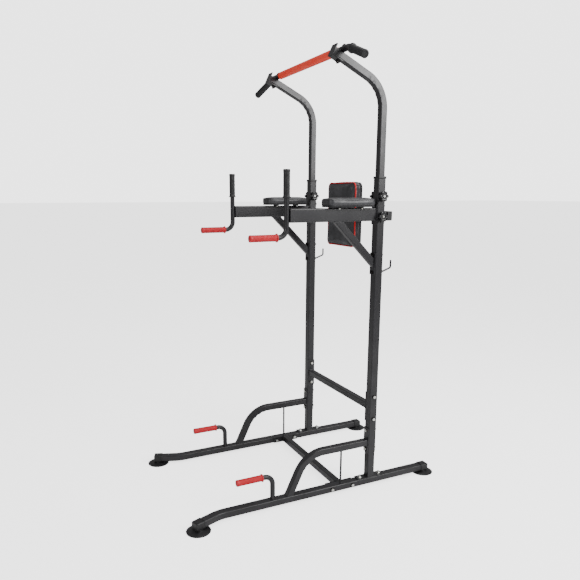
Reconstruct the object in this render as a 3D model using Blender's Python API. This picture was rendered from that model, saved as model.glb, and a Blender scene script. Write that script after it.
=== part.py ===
"""Adjustable power tower: two uprights on a long base, dip arms, backrest and a telescoping pull-up bar.

Units are metres and +Z is up.  The origin is on the floor, midway between the foremost and
rearmost suction cups and midway between the uprights.  -Y is the front, where the user stands,
and +X is the right-hand side.  The uprights' centre line runs through Y = UPRIGHT_Y.
"""
import math

import bmesh
import bpy
from mathutils import Matrix, Vector

# ---------------------------------------------------------------- driving dimensions
GAP = 0.0003                  # clearance between pieces that touch

UPRIGHT_SPACING = 0.600       # centre to centre, across the machine
FRONT_REACH = 0.900           # uprights to the foremost edge of the front cups
REAR_REACH = 0.366            # uprights to the rearmost edge of the rear cups

UPRIGHT_SIZE = 0.038          # square tube of the outer uprights
UPRIGHT_WALL = 0.0015
UPRIGHT_BOTTOM = 0.169
UPRIGHT_TOP = 1.405
CORNER = 0.004                # outside corner radius of the square tubes
INNER_CORNER = 0.002          # corner radius of what slides inside a square tube
STRAP_CORNER = 0.001          # corner radius of flat bar
CUT_RUN = 0.010               # how far a drill or cutter runs past the face it leaves
CLEAR = 1.0                   # reach of a cutting block that trims a tube to a plane

RAIL_WIDTH = 0.038
RAIL_HEIGHT = 0.030
RAIL_WALL = 0.002
RAIL_CLEARANCE = 0.013        # underside of the rails above the floor
RAIL_SPLIT = 0.067            # the front rail ends this far ahead of the uprights
SPLAY_REACH = 0.100           # from the rail's outward turn forwards to the cup's centre
SPLAY_ANGLE = 20.0
SPLAY_RADIUS = 0.160
SPIGOT_FRONT = 0.225          # inner end of the joining spigot, ahead of the uprights
SPIGOT_REAR = 0.080           # outer end of the spigot, behind the uprights
SPIGOT_START = 0.005          # the spigot proper starts this far behind its welded seat's end
SPIGOT_CORNER = 0.0015

CAP_LENGTH = 0.040            # plastic shoe on each rail end, visible length
CAP_WALL = 0.002
CAP_SOCKET = 0.030            # how far the shoe slides over the rail
CUP_DIAMETER = 0.104
CUP_THICKNESS = 0.003
CUP_LIP = 0.006               # width of the flat ring that touches the floor
CUP_EDGE = 0.0015

FOOT_FLANGE_LENGTH = 0.140
PLATE = 0.004                 # thickness of the flanges and end plates
FOOT_TOP = 0.350              # the foot tube reaches this high inside the upright
FLANGE_BOLTS = 0.104          # bolt spacing on the foot flange
BOLT_HOLE = 0.0085

BAR_SIZE = 0.030              # square tube of the braces, crossbars and posts
BAR_WALL = 0.0015
BASE_CROSS_Y = 0.1555         # base cross tube, ahead of the uprights
END_PLATE_LENGTH = 0.140      # end plates of both crossbars
END_PLATE_BOLTS = 0.107
LOWER_BAR_Z = 0.387

BEND_ANGLE = 64.5             # bend of the floor braces and of the posts
BEND_RADIUS = 0.138
FLOOR_BRACE_Z = 0.218         # centre of the floor brace's level run
FLOOR_BRACE_CORNER = 0.337    # where its centre lines cross, ahead of the uprights
BRACE_PLATE_RISE = 0.012      # centre of the plate above the brace's level run
BRACE_PLATE_HEIGHT = 0.120
BRACE_PLATE_BOLTS = 0.090
ROD_DIAMETER = 0.009
VENT_HOLE = 0.006             # drain hole under the middle of a crossbar

HANDLE_TUBE = 0.022
HANDLE_WALL = 0.002
HANDLE_BEND = 0.038
GRIP_WALL = 0.003             # thickness of every moulded grip over its tube
GRIP_LENGTH = 0.120
GRIP_FLANGE = 0.0035          # how far a grip's inner flange stands proud
GRIP_FLANGE_DEPTH = 0.005
GRIP_FLANGE_EDGE = 0.001
GRIP_END = 0.005              # thickness of a grip's closed end
PUSH_GRIP_SET = 0.010         # straight length of handle between its bend and the grip
DIP_GRIP_SET = 0.003
PUSH_HANDLE_Y = 0.4995        # stem of the push-up handle, ahead of the uprights
PUSH_HANDLE_Z = 0.152

ARM_WIDTH = 0.030
ARM_HEIGHT = 0.055
ARM_Z = 1.258
ARM_FRONT = 0.4265            # front end of the arm, ahead of the uprights
ARM_PLATE_HEIGHT = 0.085
DIP_TOP = 1.438               # top of the upright dip grip
DIP_TOP_GRIP = 0.110
DIP_FRONT_Z = 1.172
ARM_BRACE_WIDTH = 0.025
ARM_BRACE_DEPTH = 0.030
ARM_BRACE_Z = 1.047           # centre of the diagonal brace at the upright
ARM_BRACE_ANGLE = 45.0
ARM_BRACE_PLATE = 0.095

ARM_PAD_WIDTH = 0.090
ARM_PAD_LENGTH = 0.228
ARM_PAD_THICKNESS = 0.038
ARM_PAD_BACK = 0.038          # rear end of the pad, ahead of the uprights
ARM_PAD_LIFT = 0.004          # spacer between arm and pad
PAD_BOLTS = 0.110
PAD_BOLTS_BACK = 0.004        # the two bolts sit this far behind the pad's middle
PAD_SPACER = 0.016            # diameter of the spacers
SPACER_SINK = 0.002           # how far a spacer enters the pad's board
ARM_PAD_ROUND = 0.008

BACKREST_WIDTH = 0.250
BACKREST_HEIGHT = 0.300
BACKREST_THICKNESS = 0.043
BACKREST_ROUND = 0.010
BACKREST_Z = 1.2485
BACKREST_FRONT = 0.010        # front face of the pad, ahead of the uprights' centre line
BACK_TUBE_DEPTH = 0.025
BACK_TUBE_HEIGHT = 0.040
BACK_TUBE_Z = 1.251
BACK_CAP = 0.004
BACK_PLUG = 0.015             # how far the end plug goes into the tube
LUG_SETBACK = 0.002           # the lug ends this far inside the cap

HOOK_DIAMETER = 0.008
HOOK_BEND = 0.010
HOOK_Z = 0.990
HOOK_PLATE = 0.036
HOOK_REACH = 0.050
HOOK_SLOPE = 0.35
HOOK_TIP = 0.036

COLLAR_LIP = 0.002            # how far the collar stands proud of the upright
COLLAR_HEIGHT = 0.010
COLLAR_SLEEVE = 0.040
SLEEVE_WALL = 0.0019

POST_WALL = 0.0015
POST_BOTTOM = 0.970
POST_CORNER_Z = 1.770         # where the post's two centre lines cross
POST_REACH = 0.240            # front end of the sloping arm, ahead of the uprights
GLIDE_HEIGHT = 0.025

PIN_Z = 1.333                 # upper clamp knob and height pin
LOWER_KNOB_Z = 1.249
PIN_DIAMETER = 0.008
PIN_CLEARANCE = 0.0004        # radial, pin in its holes
PIN_ENGAGEMENT = 0.006        # how far the pin enters the post
PIN_HOLE_DEPTH = 0.012        # how far the drill goes into the post
HOLE_PITCH = 0.040
HOLE_STEPS = 6
BOSS_DIAMETER = 0.018
BOSS_LENGTH = 0.004
KNOB_DIAMETER = 0.045
KNOB_THICKNESS = 0.014
KNOB_NECK = 0.020
KNOB_NECK_LENGTH = 0.004
KNOB_LOBES = 6
KNOB_LOBE_DEPTH = 0.005
KNOB_POCKET = 0.015           # diameter of the recess in the knob's face

PULL_TUBE = 0.025
PULL_WALL = 0.002
PULL_BEND = 0.050
PULL_BACK = 0.035             # bar centre behind the post's end plate, along the post
FOAM_WALL = 0.004             # thickness of the centre sleeve
CENTRE_GRIP_MARGIN = 0.038    # from the post's centre to the end of the centre sleeve
OUTER_TURN = 0.045            # the bar turns down this far outside the post centres
OUTER_LENGTH = 0.160
OUTER_DROP = 21.0             # degrees below level
OUTER_FORWARD = 8.5           # degrees towards the front
OUTER_GRIP_LENGTH = 0.128
SADDLE_WIDTH = 0.040
SADDLE_PLATE = 0.005
SADDLE_LEG = 0.048
LEG_STEP = 0.002              # the leg is this much narrower than the plate

# ---------------------------------------------------------------- worked out from them
UPRIGHT_Y = (FRONT_REACH - REAR_REACH) / 2
HALF_SPACING = UPRIGHT_SPACING / 2
HALF_UPRIGHT = UPRIGHT_SIZE / 2
RAIL_TOP = RAIL_CLEARANCE + RAIL_HEIGHT
RAIL_CENTRE_Z = RAIL_CLEARANCE + RAIL_HEIGHT / 2
FLANGE_TOP = RAIL_TOP + GAP + PLATE
UPRIGHT_BORE = UPRIGHT_SIZE - 2 * UPRIGHT_WALL
POST_SIZE = UPRIGHT_BORE - 4 * GAP - 2 * SLEEVE_WALL
COLLAR_SIZE = UPRIGHT_SIZE + 2 * COLLAR_LIP
GRIP_DIAMETER = HANDLE_TUBE + 2 * GRIP_WALL
OUTER_GRIP = PULL_TUBE + 2 * GRIP_WALL
CENTRE_GRIP = PULL_TUBE + 2 * FOAM_WALL
CENTRE_GRIP_LENGTH = UPRIGHT_SPACING - 2 * CENTRE_GRIP_MARGIN
FRONT_FACE_Y = UPRIGHT_Y - HALF_UPRIGHT
REAR_FACE_Y = UPRIGHT_Y + HALF_UPRIGHT
PIN_BORE = PIN_DIAMETER + 2 * PIN_CLEARANCE

X_AXIS = Vector((1, 0, 0))
Y_AXIS = Vector((0, 1, 0))
Z_AXIS = Vector((0, 0, 1))

BLACK_COAT = ("#2E2D30", 0.38, 0.0)
BLACK_PLASTIC = ("#1B1B1D", 0.50, 0.0)
BLACK_RUBBER = ("#161617", 0.75, 0.0)
RED_GRIP = ("#C41C2B", 0.60, 0.0)
RED_FOAM = ("#F03A26", 0.65, 0.0)
BLACK_VINYL = ("#3A3A3C", 0.50, 0.0)


# ---------------------------------------------------------------- small tools
def linear(hex_colour):
    """Linear RGBA of an sRGB hex colour."""
    channels = [int(hex_colour[i:i + 2], 16) / 255 for i in (1, 3, 5)]
    return [c / 12.92 if c <= 0.04045 else ((c + 0.055) / 1.055) ** 2.4 for c in channels] + [1.0]


def clear_scene():
    """Remove whatever the start-up file holds."""
    for item in list(bpy.data.objects):
        bpy.data.objects.remove(item, do_unlink=True)


def paint(obj, finish):
    """Give an object its own Principled material."""
    colour, roughness, metallic = finish
    material = bpy.data.materials.new(obj.name)
    material.use_nodes = True
    shader = material.node_tree.nodes["Principled BSDF"]
    shader.inputs["Base Color"].default_value = linear(colour)
    shader.inputs["Roughness"].default_value = roughness
    shader.inputs["Metallic"].default_value = metallic
    obj.data.materials.clear()
    obj.data.materials.append(material)


def new_object(name, bm, origin=(0, 0, 0), side=1):
    """Turn a bmesh modelled on the right-hand side into an object; side -1 mirrors it to the left."""
    origin = Vector((origin[0] * side, origin[1], origin[2]))
    bmesh.ops.remove_doubles(bm, verts=bm.verts, dist=1e-6)
    if side < 0:
        bmesh.ops.scale(bm, vec=(-1, 1, 1), verts=bm.verts)
    bmesh.ops.translate(bm, vec=-origin, verts=bm.verts)
    bmesh.ops.recalc_face_normals(bm, faces=bm.faces)
    mesh = bpy.data.meshes.new(name)
    bm.to_mesh(mesh)
    bm.free()
    obj = bpy.data.objects.new(name, mesh)
    obj.location = origin
    bpy.context.scene.collection.objects.link(obj)
    return obj


def combine(obj, operation, tools):
    """Join or cut an object with others by Boolean modifiers, apply them and drop the tools."""
    for tool in tools:
        modifier = obj.modifiers.new(operation.title(), "BOOLEAN")
        modifier.operation = operation
        modifier.object = tool
        modifier.solver = "EXACT"
    bpy.context.view_layer.update()
    evaluated = obj.evaluated_get(bpy.context.evaluated_depsgraph_get())
    mesh = bpy.data.meshes.new_from_object(evaluated)
    obj.modifiers.clear()
    obj.data = mesh
    for tool in tools:
        bpy.data.objects.remove(tool, do_unlink=True)


def finish_piece(obj, finish, parent):
    """Paint, smooth and parent a finished sub-part."""
    paint(obj, finish)
    obj.data.shade_smooth()
    obj.data.set_sharp_from_angle(angle=math.radians(35))
    obj.parent = parent
    obj.matrix_parent_inverse = parent.matrix_world.inverted()
    return obj


def rounded_section(width, height, radius, segments=2):
    """Points of a rounded rectangle, anticlockwise about the origin."""
    points = []
    for quarter, (sx, sy) in enumerate(((1, 1), (-1, 1), (-1, -1), (1, -1))):
        for step in range(segments + 1):
            angle = math.radians(90) * (quarter + step / segments)
            points.append((sx * (width / 2 - radius) + radius * math.cos(angle),
                           sy * (height / 2 - radius) + radius * math.sin(angle)))
    return points


def round_section(diameter, sides=16):
    """Points of a circle, anticlockwise about the origin."""
    return [(diameter / 2 * math.cos(math.tau * i / sides), diameter / 2 * math.sin(math.tau * i / sides))
            for i in range(sides)]


def tube_sections(width, height, wall, radius=CORNER):
    """Outer and inner outlines of a rectangular tube."""
    inner_radius = max(radius - wall, 0.0005)
    return (rounded_section(width, height, radius),
            rounded_section(width - 2 * wall, height - 2 * wall, inner_radius))


def grow(bm, faces):
    """Extrude faces in place and return the new vertices and faces."""
    edges = list(dict.fromkeys(edge for face in faces for edge in face.edges))
    grown = bmesh.ops.extrude_face_region(bm, geom=faces + edges)["geom"]
    return ([item for item in grown if isinstance(item, bmesh.types.BMVert)],
            [item for item in grown if isinstance(item, bmesh.types.BMFace)])


def first_faces(bm, start, direction, outer, inner, side_axis):
    """The starting face of a sweep: a ring for a hollow section, one face for a solid one."""
    across = (side_axis - side_axis.dot(direction) * direction).normalized()
    up = direction.cross(across)
    loops = [[bm.verts.new(start + x * across + y * up) for x, y in loop] for loop in (outer, inner) if loop]
    if not inner:
        return [bm.faces.new(loops[0])]
    edges = [bm.edges.new((loop[i - 1], loop[i])) for loop in loops for i in range(len(loop))]
    return bmesh.ops.bridge_loops(bm, edges=edges)["faces"]


def sweep(bm, corners, outer, inner=None, radius=0.0, steps=8, side_axis=X_AXIS):
    """Sweep a section along straight runs, with a round bend at each inner corner."""
    corners = [Vector(corner) for corner in corners]
    headings = [(b - a).normalized() for a, b in zip(corners, corners[1:])]
    place = corners[0]
    faces = first_faces(bm, place, headings[0], outer, inner, side_axis)
    for index, heading in enumerate(headings):
        target = corners[index + 1]
        angle = 0.0
        if index + 1 < len(headings):
            angle = heading.angle(headings[index + 1])
            target = target - heading * radius * math.tan(angle / 2)
        verts, faces = grow(bm, faces)
        bmesh.ops.translate(bm, verts=verts, vec=target - place)
        place = target
        if angle:
            axis = heading.cross(headings[index + 1]).normalized()
            centre = place + axis.cross(heading) * radius
            turn = Matrix.Rotation(angle / steps, 3, axis)
            for _ in range(steps):
                verts, faces = grow(bm, faces)
                bmesh.ops.rotate(bm, verts=verts, cent=centre, matrix=turn)
            place = corners[index + 1] + headings[index + 1] * radius * math.tan(angle / 2)
    return bm


def swept(name, corners, outer, inner=None, side=1, origin=(0, 0, 0), **options):
    """An object made by one sweep."""
    return new_object(name, sweep(bmesh.new(), corners, outer, inner, **options), origin, side)


def turned(name, profile, start, direction, steps=20, side=1, origin=(0, 0, 0)):
    """A piece turned on a lathe: profile is (radius, distance along the axis), both ends on the axis."""
    bm = bmesh.new()
    direction = Vector(direction).normalized()
    across = direction.orthogonal().normalized()
    start = Vector(start)
    verts = [bm.verts.new(start + across * radius + direction * along) for radius, along in profile]
    edges = [bm.edges.new(pair) for pair in zip(verts, verts[1:])]
    bmesh.ops.spin(bm, geom=verts + edges, cent=start, axis=direction, dvec=(0, 0, 0),
                   angle=math.tau, steps=steps, use_merge=True, use_duplicate=False)
    return new_object(name, bm, origin, side)


def block(name, low, high, side=1, origin=(0, 0, 0), bevel=0.0):
    """A box between two corners, with optional bevelled edges."""
    bm = bmesh.new()
    bmesh.ops.create_cube(bm, size=1.0)
    low, high = Vector(low), Vector(high)
    bmesh.ops.scale(bm, vec=high - low, verts=bm.verts)
    bmesh.ops.translate(bm, vec=(low + high) / 2, verts=bm.verts)
    if bevel:
        bmesh.ops.bevel(bm, geom=list(bm.edges), offset=bevel, segments=2, profile=0.5,
                        affect="EDGES", material=-1)
    return new_object(name, bm, origin, side)


def rod(name, start, end, diameter, side=1, sides=14):
    """A plain round bar."""
    axis = X_AXIS if abs((Vector(end) - Vector(start)).normalized().x) < 0.9 else Y_AXIS
    return swept(name, (start, end), round_section(diameter, sides), side=side, side_axis=axis)


def drill(obj, spots, diameter, side=1):
    """Drill round holes; each spot is the start and end of a drill's path on the right-hand side."""
    tools = [rod("drill", start, end, diameter, side) for start, end in spots]
    combine(obj, "DIFFERENCE", tools)


# ---------------------------------------------------------------- base
def splay_points():
    """Centre line of the front rail: straight, then turned outwards."""
    angle = math.radians(SPLAY_ANGLE)
    cup_y = UPRIGHT_Y - FRONT_REACH + CUP_DIAMETER / 2
    bend = Vector((HALF_SPACING, cup_y + SPLAY_REACH, RAIL_CENTRE_Z))
    outward = Vector((math.sin(angle), -math.cos(angle), 0))
    cup = bend + outward * SPLAY_REACH / math.cos(angle)
    return bend, outward, cup


def rail_caps(side):
    """Centre of each shoe's end on the rail, and its outward direction: front, then rear."""
    bend, outward, cup = splay_points()
    rear_cup = Vector((HALF_SPACING, UPRIGHT_Y + REAR_REACH - CUP_DIAMETER / 2, RAIL_CENTRE_Z))
    return (("front", cup - outward * CAP_LENGTH / 2, outward, cup),
            ("rear", rear_cup - Y_AXIS * CAP_LENGTH / 2, Y_AXIS.copy(), rear_cup))


def front_rail(name, side, parent):
    """Front rail with its outward bend at the front and the joining spigot at the back."""
    bend, outward, cup = splay_points()
    split = Vector((HALF_SPACING, UPRIGHT_Y - RAIL_SPLIT, RAIL_CENTRE_Z))
    tip = cup - outward * (CAP_LENGTH / 2 - CAP_SOCKET)
    outer, inner = tube_sections(RAIL_WIDTH, RAIL_HEIGHT, RAIL_WALL)
    rail = swept(name, (split, bend, tip), outer, inner, side, radius=SPLAY_RADIUS, steps=4)
    width = RAIL_WIDTH - 2 * RAIL_WALL
    height = RAIL_HEIGHT - 2 * RAIL_WALL
    spigot_front = Vector((HALF_SPACING, UPRIGHT_Y - SPIGOT_FRONT, RAIL_CENTRE_Z))
    spigot_rear = Vector((HALF_SPACING, UPRIGHT_Y + SPIGOT_REAR, RAIL_CENTRE_Z))
    weld = RAIL_WALL / 2
    seat = swept("seat", (spigot_front, split - Y_AXIS * CUT_RUN),
                 rounded_section(width + 2 * weld, height + 2 * weld, INNER_CORNER), side=side)
    spigot = swept("spigot", (spigot_front + Y_AXIS * SPIGOT_START, spigot_rear),
                   rounded_section(width - 2 * GAP, height - 2 * GAP, INNER_CORNER), side=side)
    bore = swept("bore", (spigot_front - Y_AXIS * CUT_RUN, spigot_rear + Y_AXIS * CUT_RUN),
                 rounded_section(width - 2 * RAIL_WALL, height - 2 * RAIL_WALL, SPIGOT_CORNER), side=side)
    combine(rail, "UNION", [seat])
    combine(rail, "UNION", [spigot])
    combine(rail, "DIFFERENCE", [bore])
    holes = []
    for offset in (-END_PLATE_BOLTS / 2, END_PLATE_BOLTS / 2):
        y = UPRIGHT_Y - BASE_CROSS_Y + offset
        holes.append(((HALF_SPACING - RAIL_WIDTH, y, RAIL_CENTRE_Z),
                      (HALF_SPACING + RAIL_WIDTH, y, RAIL_CENTRE_Z)))
    holes += flange_drill_paths()
    drill(rail, holes, BOLT_HOLE, side)
    return finish_piece(rail, BLACK_COAT, parent)


def flange_drill_paths():
    """Paths of the two vertical bolts that hold the foot flange to the rail."""
    top = FLANGE_TOP + CUT_RUN
    return [((HALF_SPACING, UPRIGHT_Y + offset, 0.0), (HALF_SPACING, UPRIGHT_Y + offset, top))
            for offset in (-FLANGE_BOLTS / 2, FLANGE_BOLTS / 2)]


def rear_rail(name, side, parent):
    """Rear rail, slid over the front rail's spigot."""
    _, (_, joint, outward, cup) = rail_caps(side)
    start = (HALF_SPACING, UPRIGHT_Y - RAIL_SPLIT + GAP, RAIL_CENTRE_Z)
    outer, inner = tube_sections(RAIL_WIDTH, RAIL_HEIGHT, RAIL_WALL)
    rail = swept(name, (start, cup - outward * (CAP_LENGTH / 2 - CAP_SOCKET)), outer, inner, side)
    drill(rail, flange_drill_paths(), BOLT_HOLE, side)
    return finish_piece(rail, BLACK_COAT, parent)


def rail_shoe(name, joint, outward, side, parent):
    """Plastic shoe over a rail end, with a socket for the rail and a stem hole for the cup."""
    outer = rounded_section(RAIL_WIDTH + 2 * CAP_WALL, RAIL_HEIGHT + 2 * CAP_WALL, CORNER + CAP_WALL)
    pocket = rounded_section(RAIL_WIDTH + 2 * GAP, RAIL_HEIGHT + 2 * GAP, CORNER)
    across = Z_AXIS.cross(outward)
    shoe = swept(name, (joint, joint + outward * CAP_LENGTH), outer, side=side, side_axis=across)
    socket = swept("socket", (joint - outward * CUT_RUN, joint + outward * (CAP_SOCKET + GAP)), pocket,
                   side=side, side_axis=across)
    combine(shoe, "DIFFERENCE", [socket])
    return finish_piece(shoe, BLACK_PLASTIC, parent)


def suction_cup(name, centre, side, parent):
    """Rubber suction cup under a shoe: a shallow dish with a flat neck."""
    top = RAIL_CLEARANCE - CAP_WALL - GAP
    rim = CUP_DIAMETER / 2
    neck = rim * 0.36
    profile = [(0, top), (neck, top), (neck + CUP_LIP, top * 0.72), (rim * 0.85, top * 0.50), (rim, CUP_EDGE),
               (rim - CUP_EDGE, 0), (rim - CUP_LIP, 0), (rim * 0.80, top * 0.50 - CUP_THICKNESS / 2),
               (neck, top * 0.60 - CUP_THICKNESS / 2), (0, top * 0.60 - CUP_THICKNESS / 2)]
    cup = turned(name, profile, (centre.x, centre.y, 0), Z_AXIS, 20, side, (centre.x, centre.y, 0))
    return finish_piece(cup, BLACK_RUBBER, parent)


def crossbar(name, y, z, upright_plates, inner_x, parent):
    """Tube across the machine with a bolted plate welded on each end."""
    outer, inner = tube_sections(BAR_SIZE, BAR_SIZE, BAR_WALL)
    end = inner_x - GAP
    bar = swept(name, ((-end + PLATE / 2, y, z), (end - PLATE / 2, y, z)), outer, inner, side_axis=Y_AXIS)
    half_long = END_PLATE_LENGTH / 2
    half_short = (UPRIGHT_SIZE if upright_plates else RAIL_HEIGHT) / 2
    half_y, half_z = (half_short, half_long) if upright_plates else (half_long, half_short)
    plates = [block("plate", (end - PLATE, y - half_y, z - half_z), (end, y + half_y, z + half_z), side)
              for side in (1, -1)]
    combine(bar, "UNION", plates)
    step = END_PLATE_BOLTS / 2
    for side in (1, -1):
        paths = []
        for sign in (-1, 1):
            dy, dz = (0, sign * step) if upright_plates else (sign * step, 0)
            paths.append(((end - 2 * PLATE, y + dy, z + dz), (end + PLATE, y + dy, z + dz)))
        drill(bar, paths, BOLT_HOLE, side)
    vent = rod("vent", (0, y, z - BAR_SIZE), (0, y, z), VENT_HOLE)
    combine(bar, "DIFFERENCE", [vent])
    return finish_piece(bar, BLACK_COAT, parent)


def floor_brace(name, side, parent):
    """Bent brace from the rail to the front of the upright, with its bolting plate and tie rod."""
    lean = math.radians(90 - BEND_ANGLE)
    corner = Vector((HALF_SPACING, UPRIGHT_Y - FLOOR_BRACE_CORNER, FLOOR_BRACE_Z))
    down = Vector((0, -math.sin(lean), -math.cos(lean)))
    below = corner + down * (FLOOR_BRACE_Z - RAIL_TOP + BAR_SIZE) / math.cos(lean)
    plate_face = FRONT_FACE_Y - GAP
    end = Vector((HALF_SPACING, plate_face - PLATE / 2, FLOOR_BRACE_Z))
    outer, inner = tube_sections(BAR_SIZE, BAR_SIZE, BAR_WALL)
    brace = swept(name, (below, corner, end), outer, inner, side, radius=BEND_RADIUS, steps=8)
    rail_space = block("rail_space", (HALF_SPACING - CLEAR, UPRIGHT_Y - CLEAR, RAIL_TOP - CLEAR),
                       (HALF_SPACING + CLEAR, UPRIGHT_Y, RAIL_TOP + GAP), side)
    combine(brace, "DIFFERENCE", [rail_space])
    half = BRACE_PLATE_HEIGHT / 2
    plate_z = FLOOR_BRACE_Z + BRACE_PLATE_RISE
    plate = block("plate", (HALF_SPACING - HALF_UPRIGHT, plate_face - PLATE, plate_z - half),
                  (HALF_SPACING + HALF_UPRIGHT, plate_face, plate_z + half), side)
    tie_y = UPRIGHT_Y - BASE_CROSS_Y
    tie = rod("tie", (HALF_SPACING, tie_y, RAIL_TOP + GAP),
              (HALF_SPACING, tie_y, FLOOR_BRACE_Z - BAR_SIZE / 2 + BAR_WALL / 2), ROD_DIAMETER, side, 10)
    combine(brace, "UNION", [plate, tie])
    paths = []
    for sign in (-1, 1):
        z = plate_z + sign * BRACE_PLATE_BOLTS / 2
        paths.append(((HALF_SPACING, plate_face - 2 * PLATE, z), (HALF_SPACING, plate_face + PLATE, z)))
    drill(brace, paths, BOLT_HOLE, side)
    return finish_piece(brace, BLACK_COAT, parent)


def grip_profile(length, outside, bore, covered):
    """Section of a closed grip that covers a tube's end; distances run from its flange to its tip."""
    flange = outside / 2 + GRIP_FLANGE
    dome = outside / 2 * 0.30
    return [(0, covered + GAP), (bore / 2, covered + GAP), (bore / 2, 0), (flange, 0),
            (flange, GRIP_FLANGE_DEPTH), (outside / 2, GRIP_FLANGE_DEPTH + GRIP_FLANGE_EDGE),
            (outside / 2, length - dome), (outside / 2 * 0.85, length - dome * 0.35),
            (outside / 2 * 0.45, length), (0, length)]


def grip(name, start, direction, length, outside, tube, finish, side, parent):
    """Moulded grip pushed over the end of a tube."""
    profile = grip_profile(length, outside, tube + 2 * GAP, length - GRIP_END)
    piece = turned(name, profile, start, direction, 18, side, start)
    return finish_piece(piece, finish, parent)


def push_up_handle(side_name, side, parent):
    """Bent round handle on the rail with a red grip pointing to the front."""
    stem = (HALF_SPACING, UPRIGHT_Y - PUSH_HANDLE_Y, RAIL_TOP + GAP)
    corner = (HALF_SPACING, UPRIGHT_Y - PUSH_HANDLE_Y, PUSH_HANDLE_Z)
    grip_start = UPRIGHT_Y - PUSH_HANDLE_Y - HANDLE_BEND - PUSH_GRIP_SET
    tip = (HALF_SPACING, grip_start - GRIP_LENGTH + GRIP_END, PUSH_HANDLE_Z)
    handle = swept("push_up_handle_" + side_name, (stem, corner, tip), round_section(HANDLE_TUBE),
                   round_section(HANDLE_TUBE - 2 * HANDLE_WALL), side, radius=HANDLE_BEND, steps=6)
    finish_piece(handle, BLACK_COAT, parent)
    grip("push_up_grip_" + side_name, (HALF_SPACING, grip_start, PUSH_HANDLE_Z), -Y_AXIS, GRIP_LENGTH,
         GRIP_DIAMETER, HANDLE_TUBE, RED_GRIP, side, parent)


# ---------------------------------------------------------------- uprights
def foot_tube(name, side, parent):
    """Inner foot tube on its flange, which the upright slides over."""
    size = UPRIGHT_BORE - 2 * GAP
    outer, inner = tube_sections(size, size, UPRIGHT_WALL, CORNER - UPRIGHT_WALL)
    bottom = RAIL_TOP + GAP
    foot = swept(name, ((HALF_SPACING, UPRIGHT_Y, bottom), (HALF_SPACING, UPRIGHT_Y, FOOT_TOP)),
                 outer, inner, side)
    half = FOOT_FLANGE_LENGTH / 2
    flange = block("flange", (HALF_SPACING - RAIL_WIDTH / 2, UPRIGHT_Y - half, bottom),
                   (HALF_SPACING + RAIL_WIDTH / 2, UPRIGHT_Y + half, FLANGE_TOP), side)
    combine(foot, "UNION", [flange])
    drill(foot, flange_drill_paths(), BOLT_HOLE, side)
    return finish_piece(foot, BLACK_COAT, parent)


def upright(name, side, parent):
    """Outer upright: square tube with threaded bosses for the knobs and the height pin."""
    outer, inner = tube_sections(UPRIGHT_SIZE, UPRIGHT_SIZE, UPRIGHT_WALL)
    tube = swept(name, ((HALF_SPACING, UPRIGHT_Y, UPRIGHT_BOTTOM), (HALF_SPACING, UPRIGHT_Y, UPRIGHT_TOP)),
                 outer, inner, side)
    face = HALF_SPACING + HALF_UPRIGHT
    inner_face = HALF_SPACING - HALF_UPRIGHT
    wall = UPRIGHT_WALL / 2
    bosses = [rod("boss", (face - wall, UPRIGHT_Y, z), (face + BOSS_LENGTH, UPRIGHT_Y, z), BOSS_DIAMETER,
                  side, 16)
              for z in (PIN_Z, LOWER_KNOB_Z)]
    bosses.append(rod("boss", (inner_face + wall, UPRIGHT_Y, PIN_Z),
                      (inner_face - BOSS_LENGTH, UPRIGHT_Y, PIN_Z), BOSS_DIAMETER, side, 16))
    combine(tube, "UNION", bosses)
    past = BOSS_LENGTH + CUT_RUN
    inside = 2 * UPRIGHT_WALL
    paths = [((face - inside, UPRIGHT_Y, z), (face + past, UPRIGHT_Y, z)) for z in (PIN_Z, LOWER_KNOB_Z)]
    paths.append(((inner_face + inside, UPRIGHT_Y, PIN_Z), (inner_face - past, UPRIGHT_Y, PIN_Z)))
    drill(tube, paths, PIN_BORE, side)
    return finish_piece(tube, BLACK_COAT, parent)


def collar(name, side, parent):
    """Plastic guide collar in the top of the upright."""
    bore = POST_SIZE + 2 * GAP
    flange = swept(name, ((HALF_SPACING, UPRIGHT_Y, UPRIGHT_TOP + GAP),
                          (HALF_SPACING, UPRIGHT_Y, UPRIGHT_TOP + GAP + COLLAR_HEIGHT)),
                   rounded_section(COLLAR_SIZE, COLLAR_SIZE, CORNER + COLLAR_LIP / 2), side=side)
    sleeve_size = UPRIGHT_BORE - 2 * GAP
    sleeve = swept("sleeve", ((HALF_SPACING, UPRIGHT_Y, UPRIGHT_TOP - COLLAR_SLEEVE),
                              (HALF_SPACING, UPRIGHT_Y, UPRIGHT_TOP + COLLAR_HEIGHT / 2)),
                   rounded_section(sleeve_size, sleeve_size, CORNER - UPRIGHT_WALL), side=side)
    hole = swept("hole", ((HALF_SPACING, UPRIGHT_Y, UPRIGHT_TOP - 2 * COLLAR_SLEEVE),
                          (HALF_SPACING, UPRIGHT_Y, UPRIGHT_TOP + 3 * COLLAR_HEIGHT)),
                 rounded_section(bore, bore, CORNER), side=side)
    combine(flange, "UNION", [sleeve])
    combine(flange, "DIFFERENCE", [hole])
    return finish_piece(flange, BLACK_PLASTIC, parent)


def band_hook(name, side, parent):
    """Round-bar hook on the back of the upright: stem, rising arm and upturned tip."""
    y = REAR_FACE_Y + GAP + HOOK_DIAMETER / 2
    rise = HOOK_REACH * HOOK_SLOPE
    points = [(HALF_SPACING, y, HOOK_Z - HOOK_PLATE / 2), (HALF_SPACING, y, HOOK_Z + HOOK_PLATE / 2),
              (HALF_SPACING, y + HOOK_REACH, HOOK_Z + HOOK_PLATE / 2 + rise),
              (HALF_SPACING, y + HOOK_REACH, HOOK_Z + HOOK_PLATE / 2 + rise + HOOK_TIP)]
    hook = swept(name, points, round_section(HOOK_DIAMETER, 12), side=side, radius=HOOK_BEND, steps=3)
    return finish_piece(hook, BLACK_COAT, parent)


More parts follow.
